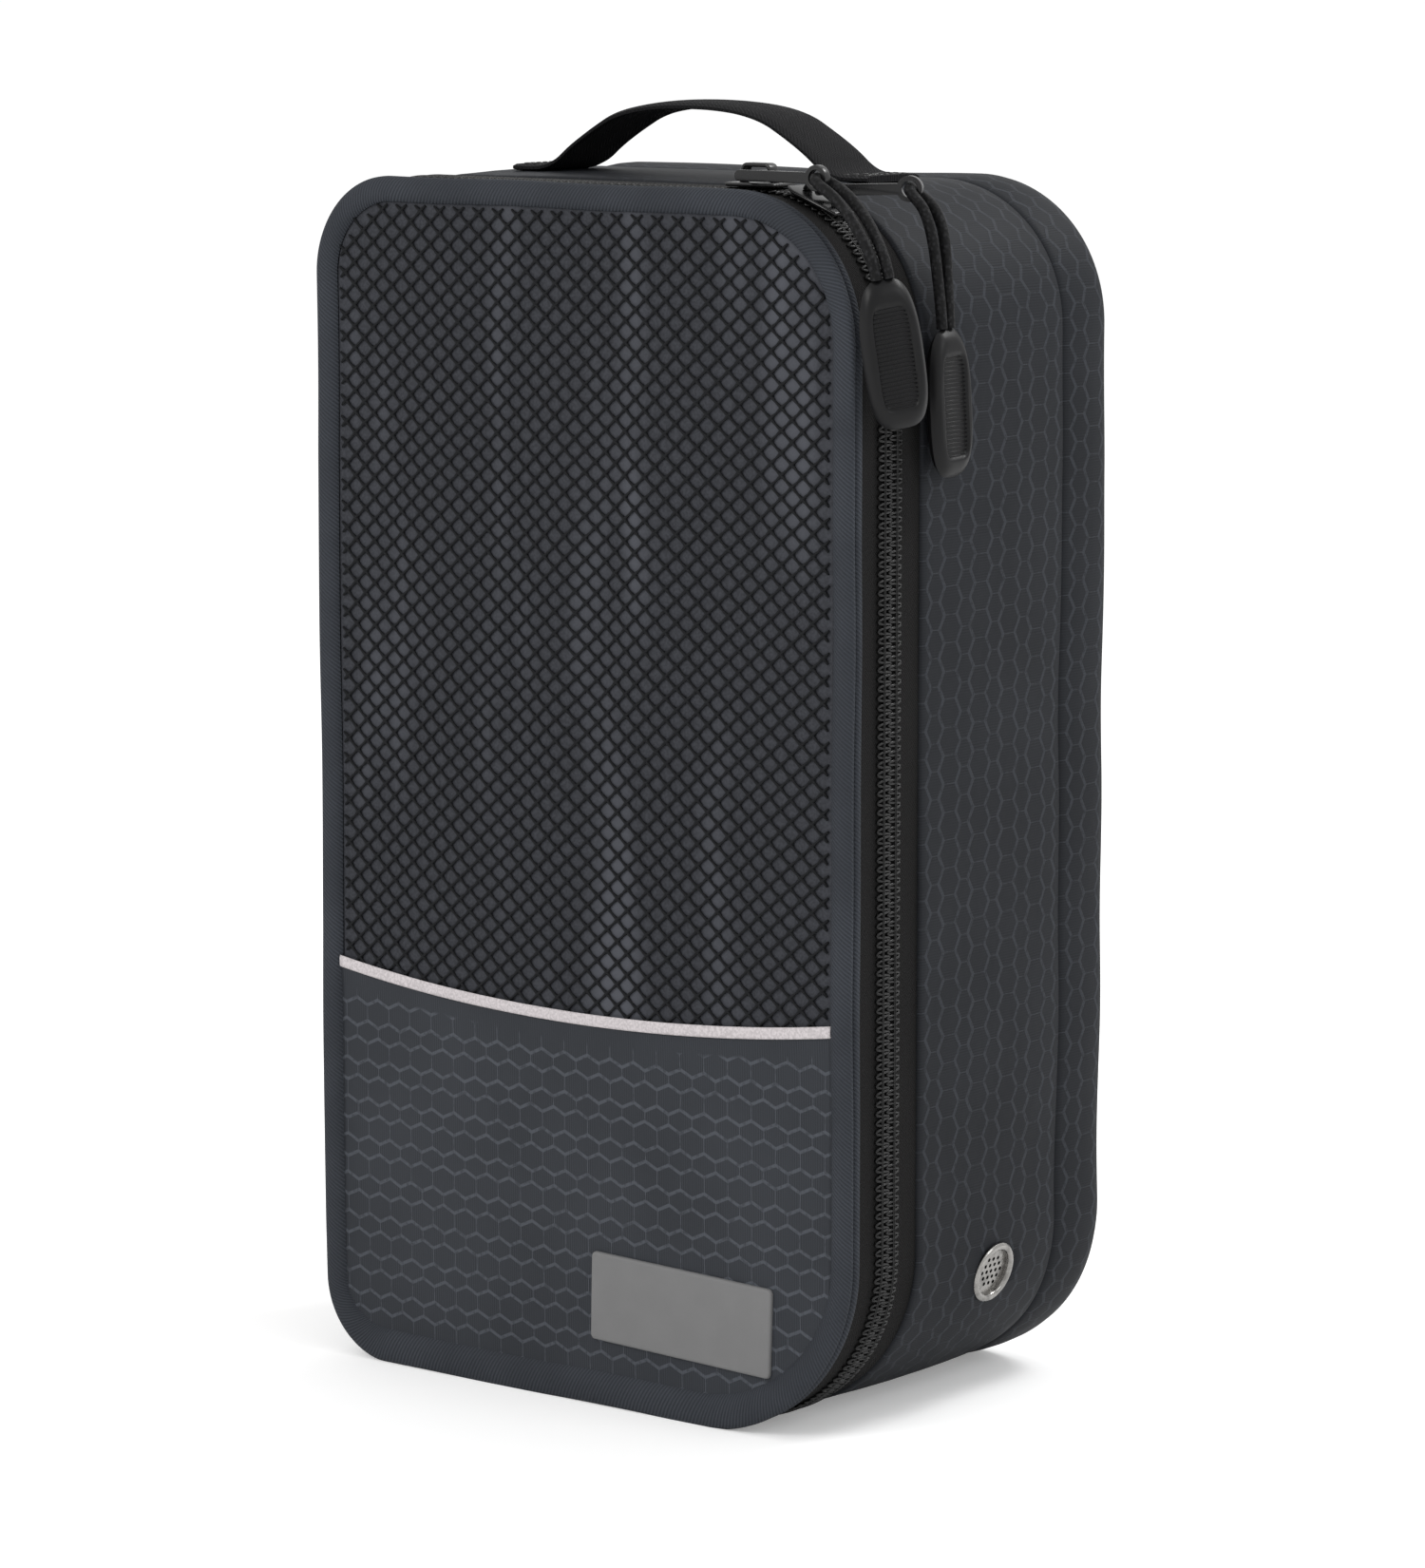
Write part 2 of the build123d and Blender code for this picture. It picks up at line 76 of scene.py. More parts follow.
class ShoeBagSizes(bpy.types.PropertyGroup):
    """Sizes of the bag's soft pieces."""

    corner_top_left: bpy.props.FloatProperty(
        name="Top left corner", description="Radius of the outline there", default=29 * MM, unit="LENGTH"
    )
    corner_top_right: bpy.props.FloatProperty(
        name="Top right corner", description="Radius of the outline there", default=43 * MM, unit="LENGTH"
    )
    corner_bottom_right: bpy.props.FloatProperty(
        name="Bottom right corner", description="Radius of the outline there", default=53 * MM, unit="LENGTH"
    )
    corner_bottom_left: bpy.props.FloatProperty(
        name="Bottom left corner", description="Radius of the outline there", default=24 * MM, unit="LENGTH"
    )
    coil_pitch: bpy.props.FloatProperty(
        name="Coil pitch", description="Distance from loop to loop of the zipper", default=2.7 * MM,
        unit="LENGTH",
    )
    chain_end: bpy.props.FloatProperty(
        name="Chain end", description="Distance from the chain's ends to the bag's top and bottom",
        default=40 * MM, unit="LENGTH",
    )
    net_width: bpy.props.FloatProperty(
        name="Net cell width", description="Width of a diamond of the net", default=7.4 * MM, unit="LENGTH"
    )
    net_height: bpy.props.FloatProperty(
        name="Net cell height", description="Height of a diamond of the net", default=6.3 * MM, unit="LENGTH"
    )
    webbing_width: bpy.props.FloatProperty(
        name="Webbing width", description="Width of the handle's webbing", default=25 * MM, unit="LENGTH"
    )
    cord_diameter: bpy.props.FloatProperty(
        name="Cord diameter", description="Diameter of the pulls' cord", default=3.2 * MM, unit="LENGTH"
    )
    grip_width: bpy.props.FloatProperty(
        name="Grip width", description="Width of the pulls' grips", default=18 * MM, unit="LENGTH"
    )
    grip_length: bpy.props.FloatProperty(
        name="Grip length", description="Length of the pulls' grips", default=42 * MM, unit="LENGTH"
    )
    grip_thickness: bpy.props.FloatProperty(
        name="Grip thickness", description="Thickness of the pulls' grips", default=5.5 * MM, unit="LENGTH"
    )


def colour_property(label, text, value):
    """A colour that a user can change."""
    return bpy.props.FloatVectorProperty(
        name=label, description=text, default=value, subtype="COLOR", size=3, min=0, max=1
    )


class ShoeBagColours(bpy.types.PropertyGroup):
    """Colours of the bag's cloths, trims and fittings."""

    side_cloth: colour_property("Side cloth", "Ripstop of the sides and back", (0.0180, 0.0196, 0.0232))
    lid_cloth: colour_property("Lid cloth", "Ripstop of the lower front", (0.038, 0.0415, 0.0485))
    edge_cloth: colour_property("Edge cloth", "Ribbed cloth of the rolled edge", (0.046, 0.051, 0.061))
    tape_cloth: colour_property("Zipper tape", "Twill of the zipper tape", (0.0095, 0.0092, 0.0092))
    webbing: colour_property("Webbing", "Webbing of the handle", (0.0085, 0.0085, 0.0092))
    net: colour_property("Net", "Strands of the net", (0.0120, 0.0126, 0.0138))
    lining: colour_property("Lining", "Cloth behind the net", (0.042, 0.0440, 0.051))
    trim: colour_property("Trim", "Light tape between net and cloth", (0.58, 0.54, 0.55))
    patch: colour_property("Patch", "Plain rubber patch", (0.165, 0.165, 0.166))
    coil: colour_property("Coil", "Nylon of the zipper coil", (0.0075, 0.0075, 0.0075))
    metal: colour_property("Metal", "Lacquer of the sliders", (0.006, 0.006, 0.0065))
    rubber: colour_property("Grip rubber", "Moulded rubber of the grips", (0.0055, 0.0055, 0.006))
    nickel: colour_property("Nickel", "Plating of the vents", (0.36, 0.35, 0.335))


class ShoeBagStage(bpy.types.PropertyGroup):
    """Camera."""

    camera_turn: bpy.props.FloatProperty(
        name="Camera turn", description="Turn of the camera to the right", default=math.radians(38.29),
        subtype="ANGLE",
    )
    camera_dip: bpy.props.FloatProperty(
        name="Camera dip", description="Dip of the camera's view", default=math.radians(8.51), subtype="ANGLE"
    )
    camera_reach: bpy.props.FloatProperty(
        name="Camera reach", description="Level distance from the bag's middle", default=1.7576, unit="LENGTH"
    )
    camera_height: bpy.props.FloatProperty(
        name="Camera height", description="Height above the floor", default=0.43874, unit="LENGTH"
    )
    lens: bpy.props.FloatProperty(name="Lens", description="Focal length in millimetres", default=137.02)


# ---------------------------------------------------------------- outline


class Outline:
    """The bag's rounded outline from the front, walked from the middle of the left side upwards."""

    def __init__(self, sizes):
        side, high = BAG_WIDTH / 2, BAG_HEIGHT
        top_left, top_right = sizes.corner_top_left, sizes.corner_top_right
        low_right, low_left = sizes.corner_bottom_right, sizes.corner_bottom_left
        self.corners = {
            (-1, 1): (Vector((top_left - side, high - top_left)), top_left),
            (1, 1): (Vector((side - top_right, high - top_right)), top_right),
            (1, -1): (Vector((side - low_right, low_right)), low_right),
            (-1, -1): (Vector((low_left - side, low_left)), low_left),
        }
        self.runs = []
        self.line((-side, high / 2), (-side, high - top_left))
        self.arc((-1, 1), 180)
        self.line((top_left - side, high), (side - top_right, high))
        self.arc((1, 1), 90)
        self.line((side, high - top_right), (side, low_right))
        self.arc((1, -1), 0)
        self.line((side - low_right, 0), (low_left - side, 0))
        self.arc((-1, -1), -90)
        self.line((-side, low_left), (-side, high / 2))
        self.length = sum(run[0] for run in self.runs)

    def line(self, start, end):
        """Adds a straight run."""
        start, end = Vector(start), Vector(end)
        along = (end - start).normalized()
        out = Vector((-along.y, along.x))
        self.runs.append(((end - start).length, lambda d: (start + along * d, out), 4.0 * MM))

    def arc(self, corner, from_degrees):
        """Adds a quarter turn, clockwise seen from the front."""
        centre, radius = self.corners[corner]

        def place(d):
            angle = math.radians(from_degrees) - d / radius
            out = Vector((math.cos(angle), math.sin(angle)))
            return centre + out * radius, out

        self.runs.append((radius * math.pi / 2, place, 1.8 * MM))

    def at(self, s):
        """Point and outward direction, in X and Z, at a distance along the outline."""
        s %= self.length
        for length, place, _ in self.runs:
            if s <= length:
                return place(s)
            s -= length
        return self.runs[-1][1](self.runs[-1][0])

    def stations(self, start, end):
        """Distances along the outline, closer together round its corners."""
        found = {start, end}
        for lap in (-1, 0):
            base = lap * self.length
            for length, _, step in self.runs:
                count = max(1, math.ceil(length / step))
                for i in range(count + 1):
                    s = base + length * i / count
                    if start + 0.4 * MM < s < end - 0.4 * MM:
                        found.add(round(s, 7))
                base += length
        return sorted(found)

    def edge_height(self, x, inset, top):
        """Height of the outline, drawn in by the inset, above or below a place across the bag."""
        way = 1 if top else -1
        centre, radius = self.corners[(1 if x > 0 else -1, way)]
        radius -= inset
        level = BAG_HEIGHT - inset if top else inset
        beyond = (x - centre.x) * (1 if x > 0 else -1)
        if beyond <= 0:
            return level
        return centre.y + way * math.sqrt(max(radius * radius - beyond * beyond, 0))


def build_outline():
    """The outline at the current sizes."""
    return Outline(bpy.context.scene.shoe_bag_sizes)


# ---------------------------------------------------------------- mesh helpers


def make_mesh(name, points, faces, weave=None, sharp=50):
    """A smooth-shaded object with the distances along and across its cloth stored on its points."""
    mesh = bpy.data.meshes.new(name)
    mesh.from_pydata([tuple(p) for p in points], [], faces)
    mesh.validate()
    if weave is not None:
        layer = mesh.attributes.new("weave", "FLOAT_VECTOR", "POINT")
        layer.data.foreach_set("vector", [c for w in weave for c in (*w, 0.0)])
    mesh.polygons.foreach_set("use_smooth", [True] * len(mesh.polygons))
    mesh.set_sharp_from_angle(angle=math.radians(sharp))
    mesh.update()
    piece = bpy.data.objects.new(name, mesh)
    bpy.context.scene.collection.objects.link(piece)
    return piece


def dress(piece, body, nodes, material):
    """Gives a piece its material and the body it rides on, and hides the CAD nodes it stands for."""
    piece.data.materials.clear()
    piece.data.materials.append(material)
    if body:
        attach(piece, body)
    if nodes:
        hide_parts(*nodes)
    return piece


def grid_faces(rows, columns, wrap=False, offset=0, flip=False):
    """Quads over rows of points; wrap joins the last column to the first."""
    faces = []
    last = columns if wrap else columns - 1
    for i in range(rows - 1):
        for j in range(last):
            k = (j + 1) % columns
            quad = (
                offset + i * columns + j,
                offset + i * columns + k,
                offset + (i + 1) * columns + k,
                offset + (i + 1) * columns + j,
            )
            faces.append(quad[::-1] if flip else quad)
    return faces


def ripple(x, y, z, size):
    """A soft, repeatable unevenness of about one unit."""
    return noise.noise(Vector((x / size, y / size, z / size)))


def band(name, outline, loop, start=0.0, end=None, wobble=0.0, low_scale=1.0):
    """A strip round the bag. Its closed cross-section is a loop of depths and insets in millimetres."""
    end = outline.length if end is None else end
    stations = outline.stations(start, end)
    loop = [(y * MM, inset * MM) for y, inset in loop]
    across = [0.0]
    for (y0, i0), (y1, i1) in zip(loop, loop[1:]):
        across.append(across[-1] + math.hypot(y1 - y0, i1 - i0))
    points, weave = [], []
    for s in stations:
        place, out = outline.at(s)
        low = max(0.0, -out.y) ** 2
        for (y, inset), run in zip(loop, across):
            grown = inset * (1 + (low_scale - 1) * low) if inset > 1.5 * MM else inset
            lift = wobble * MM * ripple(place.x, y, place.y, 0.045)
            x = place.x - out.x * (grown - lift)
            z = place.y - out.y * (grown - lift)
            points.append((x, y, max(z, 0.0)))
            weave.append((s, run))
    columns = len(loop)
    faces = grid_faces(len(stations), columns, wrap=True)
    if end - start < outline.length - MM:
        faces.append(tuple(range(columns))[::-1])
        faces.append(tuple(range(len(points) - columns, len(points))))
    area = sum(y0 * i1 - y1 * i0 for (y0, i0), (y1, i1) in zip(loop, loop[1:] + loop[:1]))
    if area > 0:
        faces = [face[::-1] for face in faces]
    return make_mesh(name, points, faces, weave)


def tube(path, radius, sides):
    """Points and faces of a tube along a path; radius is one number or one for each point."""
    points, faces = [], []
    radii = radius if isinstance(radius, list) else [radius] * len(path)
    normal = None
    for i, here in enumerate(path):
        ahead, behind = path[min(i + 1, len(path) - 1)], path[max(i - 1, 0)]
        along = (ahead - behind).normalized()
        if normal is None:
            normal = along.orthogonal().normalized()
        normal = (normal - along * normal.dot(along)).normalized()
        side = along.cross(normal)
        for k in range(sides):
            a = 2 * math.pi * k / sides
            points.append(here + normal * (math.cos(a) * radii[i]) + side * (math.sin(a) * radii[i]))
    faces = grid_faces(len(path), sides, wrap=True)
    faces.append(tuple(range(sides))[::-1])
    faces.append(tuple(range(len(points) - sides, len(points))))
    return points, faces


def gather(parts):
    """Joins several lists of points and faces."""
    points, faces = [], []
    for some_points, some_faces in parts:
        base = len(points)
        points.extend(some_points)
        faces.extend(tuple(base + i for i in face) for face in some_faces)
    return points, faces


def rounded_copy(node, width):
    """A copy of a CAD node's mesh with its edges rounded, or left sharp at a width of 0."""
    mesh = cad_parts[node].data.copy()
    piece = bpy.data.objects.new(f"{node}_formed", mesh)
    bpy.context.scene.collection.objects.link(piece)
    if not width:
        return piece
    weld = piece.modifiers.new("weld", "WELD")
    weld.merge_threshold = 0.01 * MM
    flat = piece.modifiers.new("flat", "DECIMATE")
    flat.decimate_type = "DISSOLVE"
    flat.angle_limit = math.radians(2)
    bevel = piece.modifiers.new("edges", "BEVEL")
    bevel.width = width * MM
    bevel.segments = 3
    bevel.limit_method = "ANGLE"
    bevel.angle_limit = math.radians(35)
    bevel.use_clamp_overlap = True
    for polygon in mesh.polygons:
        polygon.use_smooth = True
    return piece


def lathe(name, centre, axis, profile, turns=64):
    """A ring turned round an axis from a closed loop of radii and heights in millimetres."""
    axis = axis.normalized()
    first = axis.orthogonal().normalized()
    second = axis.cross(first)
    points = []
    for i in range(turns):
        a = 2 * math.pi * i / turns
        ray = first * math.cos(a) + second * math.sin(a)
        points.extend(centre + ray * (r * MM) + axis * (h * MM) for r, h in profile)
    count = len(profile)
    faces = grid_faces(turns, count, wrap=True, flip=True)
    for j in range(count):
        k = (j + 1) % count
        faces.append((j, k, (turns - 1) * count + k, (turns - 1) * count + j))
    return make_mesh(name, points, faces, sharp=40)


# ---------------------------------------------------------------- materials


class Recipe:
    """A material and short ways to add its nodes."""

    def __init__(self, name):
        self.material = bpy.data.materials.get(name) or bpy.data.materials.new(name)
        self.material.use_nodes = True
        self.tree = self.material.node_tree
        self.tree.nodes.clear()
        self.shader = self.node("BsdfPrincipled")
        output = self.node("OutputMaterial")
        self.tree.links.new(self.shader.outputs[0], output.inputs["Surface"])

    def node(self, kind, **settings):
        """A node with its settings."""
        made = self.tree.nodes.new("ShaderNode" + kind)
        for key, value in settings.items():
            setattr(made, key, value)
        return made

    def feed(self, socket, value):
        """Links or sets a socket."""
        if isinstance(value, bpy.types.NodeSocket):
            self.tree.links.new(value, socket)
        else:
            socket.default_value = value

    def maths(self, operation, *values):
        """A Math node's result."""
        made = self.node("Math", operation=operation)
        for socket, value in zip(made.inputs, values):
            self.feed(socket, value)
        return made.outputs[0]

    def vector(self, operation, *values):
        """A Vector Math node's result: its number for a length or product, and otherwise its vector."""
        made = self.node("VectorMath", operation=operation)
        for socket, value in zip(made.inputs, values):
            self.feed(socket, value)
        return made.outputs["Value" if operation in ("LENGTH", "DOT_PRODUCT") else "Vector"]

    def blend(self, factor, first, second):
        """A colour between two."""
        made = self.node("Mix", data_type="RGBA")
        self.feed(made.inputs["Factor"], factor)
        for socket, value in ((made.inputs["A"], first), (made.inputs["B"], second)):
            self.feed(socket, value)
        return made.outputs["Result"]

    def ramp(self, value, low, high, to_low=0.0, to_high=1.0, smooth=True):
        """A number carried from one range to another."""
        made = self.node("MapRange")
        made.interpolation_type = "SMOOTHSTEP" if smooth else "LINEAR"
        for name, number in (("From Min", low), ("From Max", high), ("To Min", to_low), ("To Max", to_high)):
            made.inputs[name].default_value = number
        self.feed(made.inputs["Value"], value)
        return made.outputs["Result"]

    def speckle(self, scale, vector=None, detail=3.0):
        """Noise at a scale in cells per metre."""
        made = self.node("TexNoise")
        made.inputs["Scale"].default_value = scale
        made.inputs["Detail"].default_value = detail
        self.feed(made.inputs["Vector"], vector or self.place())
        return made.outputs["Fac"]

    def place(self):
        """The point's place on the object, in metres."""
        return self.node("TexCoord").outputs["Object"]

    def weave(self):
        """Distances along and across the cloth, in metres."""
        return self.node("Attribute", attribute_name="weave").outputs["Vector"]

    def bump(self, height, distance, strength=1.0, below=None):
        """A Bump node's normal."""
        made = self.node("Bump")
        made.inputs["Strength"].default_value = strength
        made.inputs["Distance"].default_value = distance * MM
        self.feed(made.inputs["Height"], height)
        if below is not None:
            self.feed(made.inputs["Normal"], below)
        return made.outputs["Normal"]

    def finish(self, colour, roughness, specular=0.3, metallic=0.0, coat=0.0, normal=None):
        """Sets the shader."""
        self.feed(self.shader.inputs["Base Color"], colour)
        self.feed(self.shader.inputs["Roughness"], roughness)
        self.shader.inputs["Specular IOR Level"].default_value = specular
        self.shader.inputs["Metallic"].default_value = metallic
        self.shader.inputs["Coat Weight"].default_value = coat
        self.shader.inputs["Coat Roughness"].default_value = 0.15
        if normal is not None:
            self.feed(self.shader.inputs["Normal"], normal)
        return self.material


def tone(colour, gain=1.0):
    """A colour with alpha, brighter or darker."""
    return (*[min(1.0, c * gain) for c in colour], 1.0)


def ripstop(name, colour, cell_width, row_pitch, hem=False):
    """Ripstop cloth: pale hexagon outlines over fine ribs, with a plain hem under the trim if asked."""
    recipe = Recipe(name)
    split = recipe.node("SeparateXYZ")
    recipe.feed(split.inputs[0], recipe.weave())
    wide, tall = split.outputs["X"], split.outputs["Y"]
    wander = recipe.speckle(90.0, detail=1.0)
    stray = recipe.maths("MULTIPLY", wander, 0.08)
    wide_units = recipe.maths("MULTIPLY_ADD", wide, 1 / (cell_width * MM), stray)
    tall_units = recipe.maths("MULTIPLY", tall, math.sqrt(3) / 2 / (row_pitch * MM))
    join = recipe.node("CombineXYZ")
    recipe.feed(join.inputs["X"], wide_units)
    recipe.feed(join.inputs["Y"], tall_units)
    # The cells' middles lie on two oblong grids, one shifted by half a step. The nearer middle counts.
    half = (0.5, math.sqrt(3) / 2, 0.5)
    less = tuple(-h for h in half)
    first = recipe.vector("WRAP", join.outputs[0], half, less)
    second = recipe.vector("WRAP", recipe.vector("ADD", join.outputs[0], half), half, less)
    nearer = recipe.maths("LESS_THAN", recipe.vector("LENGTH", first), recipe.vector("LENGTH", second))
    pick = recipe.node("Mix", data_type="VECTOR")
    recipe.feed(pick.inputs["Factor"], nearer)
    recipe.feed(pick.inputs["A"], second)
    recipe.feed(pick.inputs["B"], first)
    centred = recipe.vector("ABSOLUTE", pick.outputs["Result"])
    slope = recipe.vector("DOT_PRODUCT", centred, (0.5, math.sqrt(3) / 2, 0.0))
    flat = recipe.vector("DOT_PRODUCT", centred, (1.0, 0.0, 0.0))
    reach = recipe.maths("MAXIMUM", slope, flat)
    line = recipe.ramp(reach, 0.472, 0.494)
    broken = recipe.ramp(recipe.speckle(700.0, detail=2.0), 0.30, 0.55, 0.35, 1.0)
    line = recipe.maths("MULTIPLY", line, broken)
    if hem:
        rise = (TRIM_SIDE_Z - TRIM_MIDDLE_Z) / (BAG_WIDTH / 2) ** 2
        curve = recipe.maths("MULTIPLY_ADD", recipe.maths("MULTIPLY", wide, wide), rise, TRIM_MIDDLE_Z)
        below = recipe.maths("SUBTRACT", curve, tall)
        line = recipe.maths("MULTIPLY", line, recipe.ramp(below, 6.5 * MM, 8.0 * MM))
    ribs = recipe.maths("SINE", recipe.maths("MULTIPLY", wide, 2 * math.pi / (0.8 * MM)))
    ribs_here = recipe.maths("MULTIPLY", ribs, recipe.ramp(flat, 0.05, 0.4, 0.25, 1.0))
    mottle = recipe.speckle(26.0, detail=4.0)
    base = recipe.blend(recipe.ramp(mottle, 0.3, 0.7), tone(colour, 0.88), tone(colour, 1.10))
    base = recipe.blend(recipe.ramp(ribs_here, -1.0, 1.0, 0.0, 0.8), base, tone(colour, 0.62))
    base = recipe.blend(recipe.maths("MULTIPLY", line, 0.42), base, tone(colour, 3.0))
    height = recipe.maths("MULTIPLY_ADD", ribs_here, 0.22, line)
    crumple = recipe.bump(recipe.speckle(55.0, detail=3.0), 0.9, 0.5)
    normal = recipe.bump(height, 0.10, 0.9, crumple)
    return recipe.finish(base, 0.6, specular=0.11, normal=normal)


def ribbed_cloth(name, colour, pitch, slant, contrast=0.4, roughness=0.7):
    """Cloth with fine slanting ribs, such as the rolled edge, tapes and webbing."""
    recipe = Recipe(name)
    lean = recipe.vector("DOT_PRODUCT", recipe.weave(), (1 / (pitch * MM), slant / (pitch * MM), 0.0))
    ribs = recipe.maths("SINE", recipe.maths("MULTIPLY", lean, 2 * math.pi))
    threads = recipe.speckle(2600.0, detail=1.0)
    mottle = recipe.speckle(40.0, detail=4.0)
    base = recipe.blend(recipe.ramp(mottle, 0.3, 0.7), tone(colour, 0.86), tone(colour, 1.14))
    shade = recipe.maths("MULTIPLY_ADD", threads, 0.5, recipe.ramp(ribs, -1, 1, 0.0, 0.75))
    base = recipe.blend(recipe.maths("MULTIPLY", shade, contrast), base, tone(colour, 0.45))
    normal = recipe.bump(recipe.maths("MULTIPLY_ADD", threads, 0.5, ribs), 0.12, 0.7)
    return recipe.finish(base, roughness, specular=0.11, normal=normal)


def herringbone(name, colour, pitch, column, contrast=0.5):
    """Twill whose slant turns back from column to column, as on zipper tape and webbing."""
    recipe = Recipe(name)
    split = recipe.node("SeparateXYZ")
    recipe.feed(split.inputs[0], recipe.weave())
    fold = recipe.maths("PINGPONG", split.outputs["Y"], column * MM)
    lean = recipe.maths("ADD", split.outputs["X"], recipe.maths("MULTIPLY", fold, 1.3))
    ribs = recipe.maths("SINE", recipe.maths("MULTIPLY", lean, 2 * math.pi / (pitch * MM)))
    threads = recipe.speckle(2200.0, detail=1.0)
    base = recipe.blend(recipe.ramp(ribs, -1, 1, 0.0, contrast), tone(colour, 1.25), tone(colour, 0.5))
    base = recipe.blend(recipe.ramp(threads, 0.35, 0.75, 0.0, 0.45), base, tone(colour, 1.9))
    normal = recipe.bump(recipe.maths("MULTIPLY_ADD", threads, 0.4, ribs), 0.14, 0.8)
    return recipe.finish(base, 0.75, specular=0.09, normal=normal)


def plain_cloth(name, colour, scale=1500.0, contrast=0.5, roughness=0.8, fold_light=0.0):
    """Speckled plain weave; a slack lining can also get lighter lengthwise streaks, painted light of its soft
    folds.
    """
    recipe = Recipe(name)
    fine = recipe.speckle(scale, detail=2.0)
    base = recipe.blend(recipe.ramp(fine, 0.32, 0.68, 0.0, contrast), tone(colour, 0.78), tone(colour, 1.5))
    if fold_light:
        # Painted light: lighter lengthwise streaks stand in for the light on the lining's slack folds.
        stretch = recipe.vector("MULTIPLY", recipe.place(), (1.0, 1.0, 0.16))
        soft = recipe.speckle(42.0, stretch, detail=2.0)
        base = recipe.blend(recipe.ramp(soft, 0.47, 0.74, 0.0, fold_light), base, tone(colour, 1.85))
    normal = recipe.bump(fine, 0.12, 0.6)
    return recipe.finish(base, roughness, specular=0.09, normal=normal)


def moulded(name, colour, roughness, specular, grain=900.0, depth=0.05, coat=0.0, wear_range=0.2):
    """Rubber, nylon or lacquer with a faint grain and wear."""
    recipe = Recipe(name)
    fine = recipe.speckle(grain, detail=3.0)
    wear = recipe.speckle(120.0, detail=4.0)
    worn, fresh = tone(colour, 1 + wear_range), tone(colour, 1 - wear_range)
    base = recipe.blend(recipe.ramp(wear, 0.35, 0.7), fresh, worn)
    rough = recipe.ramp(wear, 0.3, 0.7, roughness * 0.85, roughness * 1.15)
    return recipe.finish(base, rough, specular=specular, coat=coat, normal=recipe.bump(fine, depth, 0.5))


def plated(name, colour):
    """Polished nickel with faint scratches."""
    recipe = Recipe(name)
    scratch = recipe.speckle(1600.0, detail=2.0)
    tarnish = recipe.speckle(300.0, detail=4.0)
    base = recipe.blend(recipe.ramp(tarnish, 0.4, 0.75), tone(colour), tone(colour, 0.6))
    rough = recipe.ramp(scratch, 0.3, 0.7, 0.16, 0.32)
    return recipe.finish(base, rough, specular=0.5, metallic=1.0, normal=recipe.bump(scratch, 0.02, 0.3))


def braided(name, colour):
    """Round braided cord, each strand painted lighter at its crown and darker at its edges: painted light and
    shade of the braid's relief.
    """
    recipe = Recipe(name)
    spot = recipe.node("TexVoronoi")
    spot.inputs["Scale"].default_value = 850.0
    recipe.feed(spot.inputs["Vector"], recipe.place())
    near = spot.outputs["Distance"]
    # Painted light and shade: bright at each strand's crown, dark in the gaps between strands.
    base = recipe.blend(recipe.ramp(near, 0.1, 0.6), tone(colour, 1.9), tone(colour, 0.5))
    normal = recipe.bump(recipe.maths("SUBTRACT", 1.0, near), 0.25, 0.9)
    return recipe.finish(base, 0.6, specular=0.15, normal=normal)


def finishes():
    """Every material of the bag, made once."""
    colours = bpy.context.scene.shoe_bag_colours
    store = finishes.__dict__.setdefault("made", {})
    if not store:
        store.update(
            side=ripstop("side_ripstop", colours.side_cloth, 8.1, 7.0),
            lid=ripstop("lid_ripstop", colours.lid_cloth, 8.6, 5.9, hem=True),
            back=ripstop("back_ripstop", colours.side_cloth, 8.6, 5.9),
            edge=ribbed_cloth("edge_rib", colours.edge_cloth, 1.25, 0.75, contrast=0.75),
            binding=ribbed_cloth("binding_rib", colours.tape_cloth, 1.0, 0.0),
            tape=herringbone("tape_twill", colours.tape_cloth, 1.15, 3.3),
            webbing=herringbone("webbing_twill", colours.webbing, 1.5, 3.1),
            net=plain_cloth("net_yarn", colours.net, 2500.0, 0.6, 0.7),
            # The lining's lighter streaks are painted light of its folds.
            lining=plain_cloth("lining_weave", colours.lining, 1300.0, 0.45, 0.7, fold_light=1.0),
            trim=plain_cloth("trim_weave", colours.trim, 1400.0, 0.35, 0.7),
            patch=moulded("patch_rubber", colours.patch, 0.55, 0.3, 900.0, 0.05, wear_range=0.03),
            coil=moulded("coil_nylon", colours.coil, 0.34, 0.32),
            metal=moulded("slider_lacquer", colours.metal, 0.26, 0.4, 1500.0, 0.03, coat=0.12),
            rubber=moulded("grip_rubber", colours.rubber, 0.38, 0.22, 1300.0, 0.04, wear_range=0.1),
            cord=braided("cord_braid", colours.webbing),
            nickel=plated("vent_nickel", colours.nickel),
        )
    return store


# ---------------------------------------------------------------- front surface


TRIM_SIDE_Z = 122.0 * MM
TRIM_MIDDLE_Z = 114.5 * MM
TRIM_WIDTH = 3.5 * MM
PANEL_INSET = 6.6 * MM


def trim_height(x):
    """Height of the trim tape's middle line across the front."""
    return TRIM_MIDDLE_Z + (TRIM_SIDE_Z - TRIM_MIDDLE_Z) * (x / (BAG_WIDTH / 2)) ** 2


def front_depth(x, z):
    """How far the lid's cloth lies in front of its seam line: a slack crown with lengthwise folds."""
    side = BAG_WIDTH / 2 - PANEL_INSET
    crown = max(0.0, 1 - abs(x / side) ** 3) * max(0.0, 1 - abs(z / BAG_HEIGHT * 2 - 1) ** 5)
    folds = ripple(x * 1.0, 0.0, z * 0.16, 0.034) + 0.5 * ripple(x, 5.0, z * 0.3, 0.016)
    above = max(0.0, min(1.0, (z - trim_height(x)) / (40 * MM)))
    return crown * (1.3 * MM + (0.25 + 1.0 * above) * MM * folds)


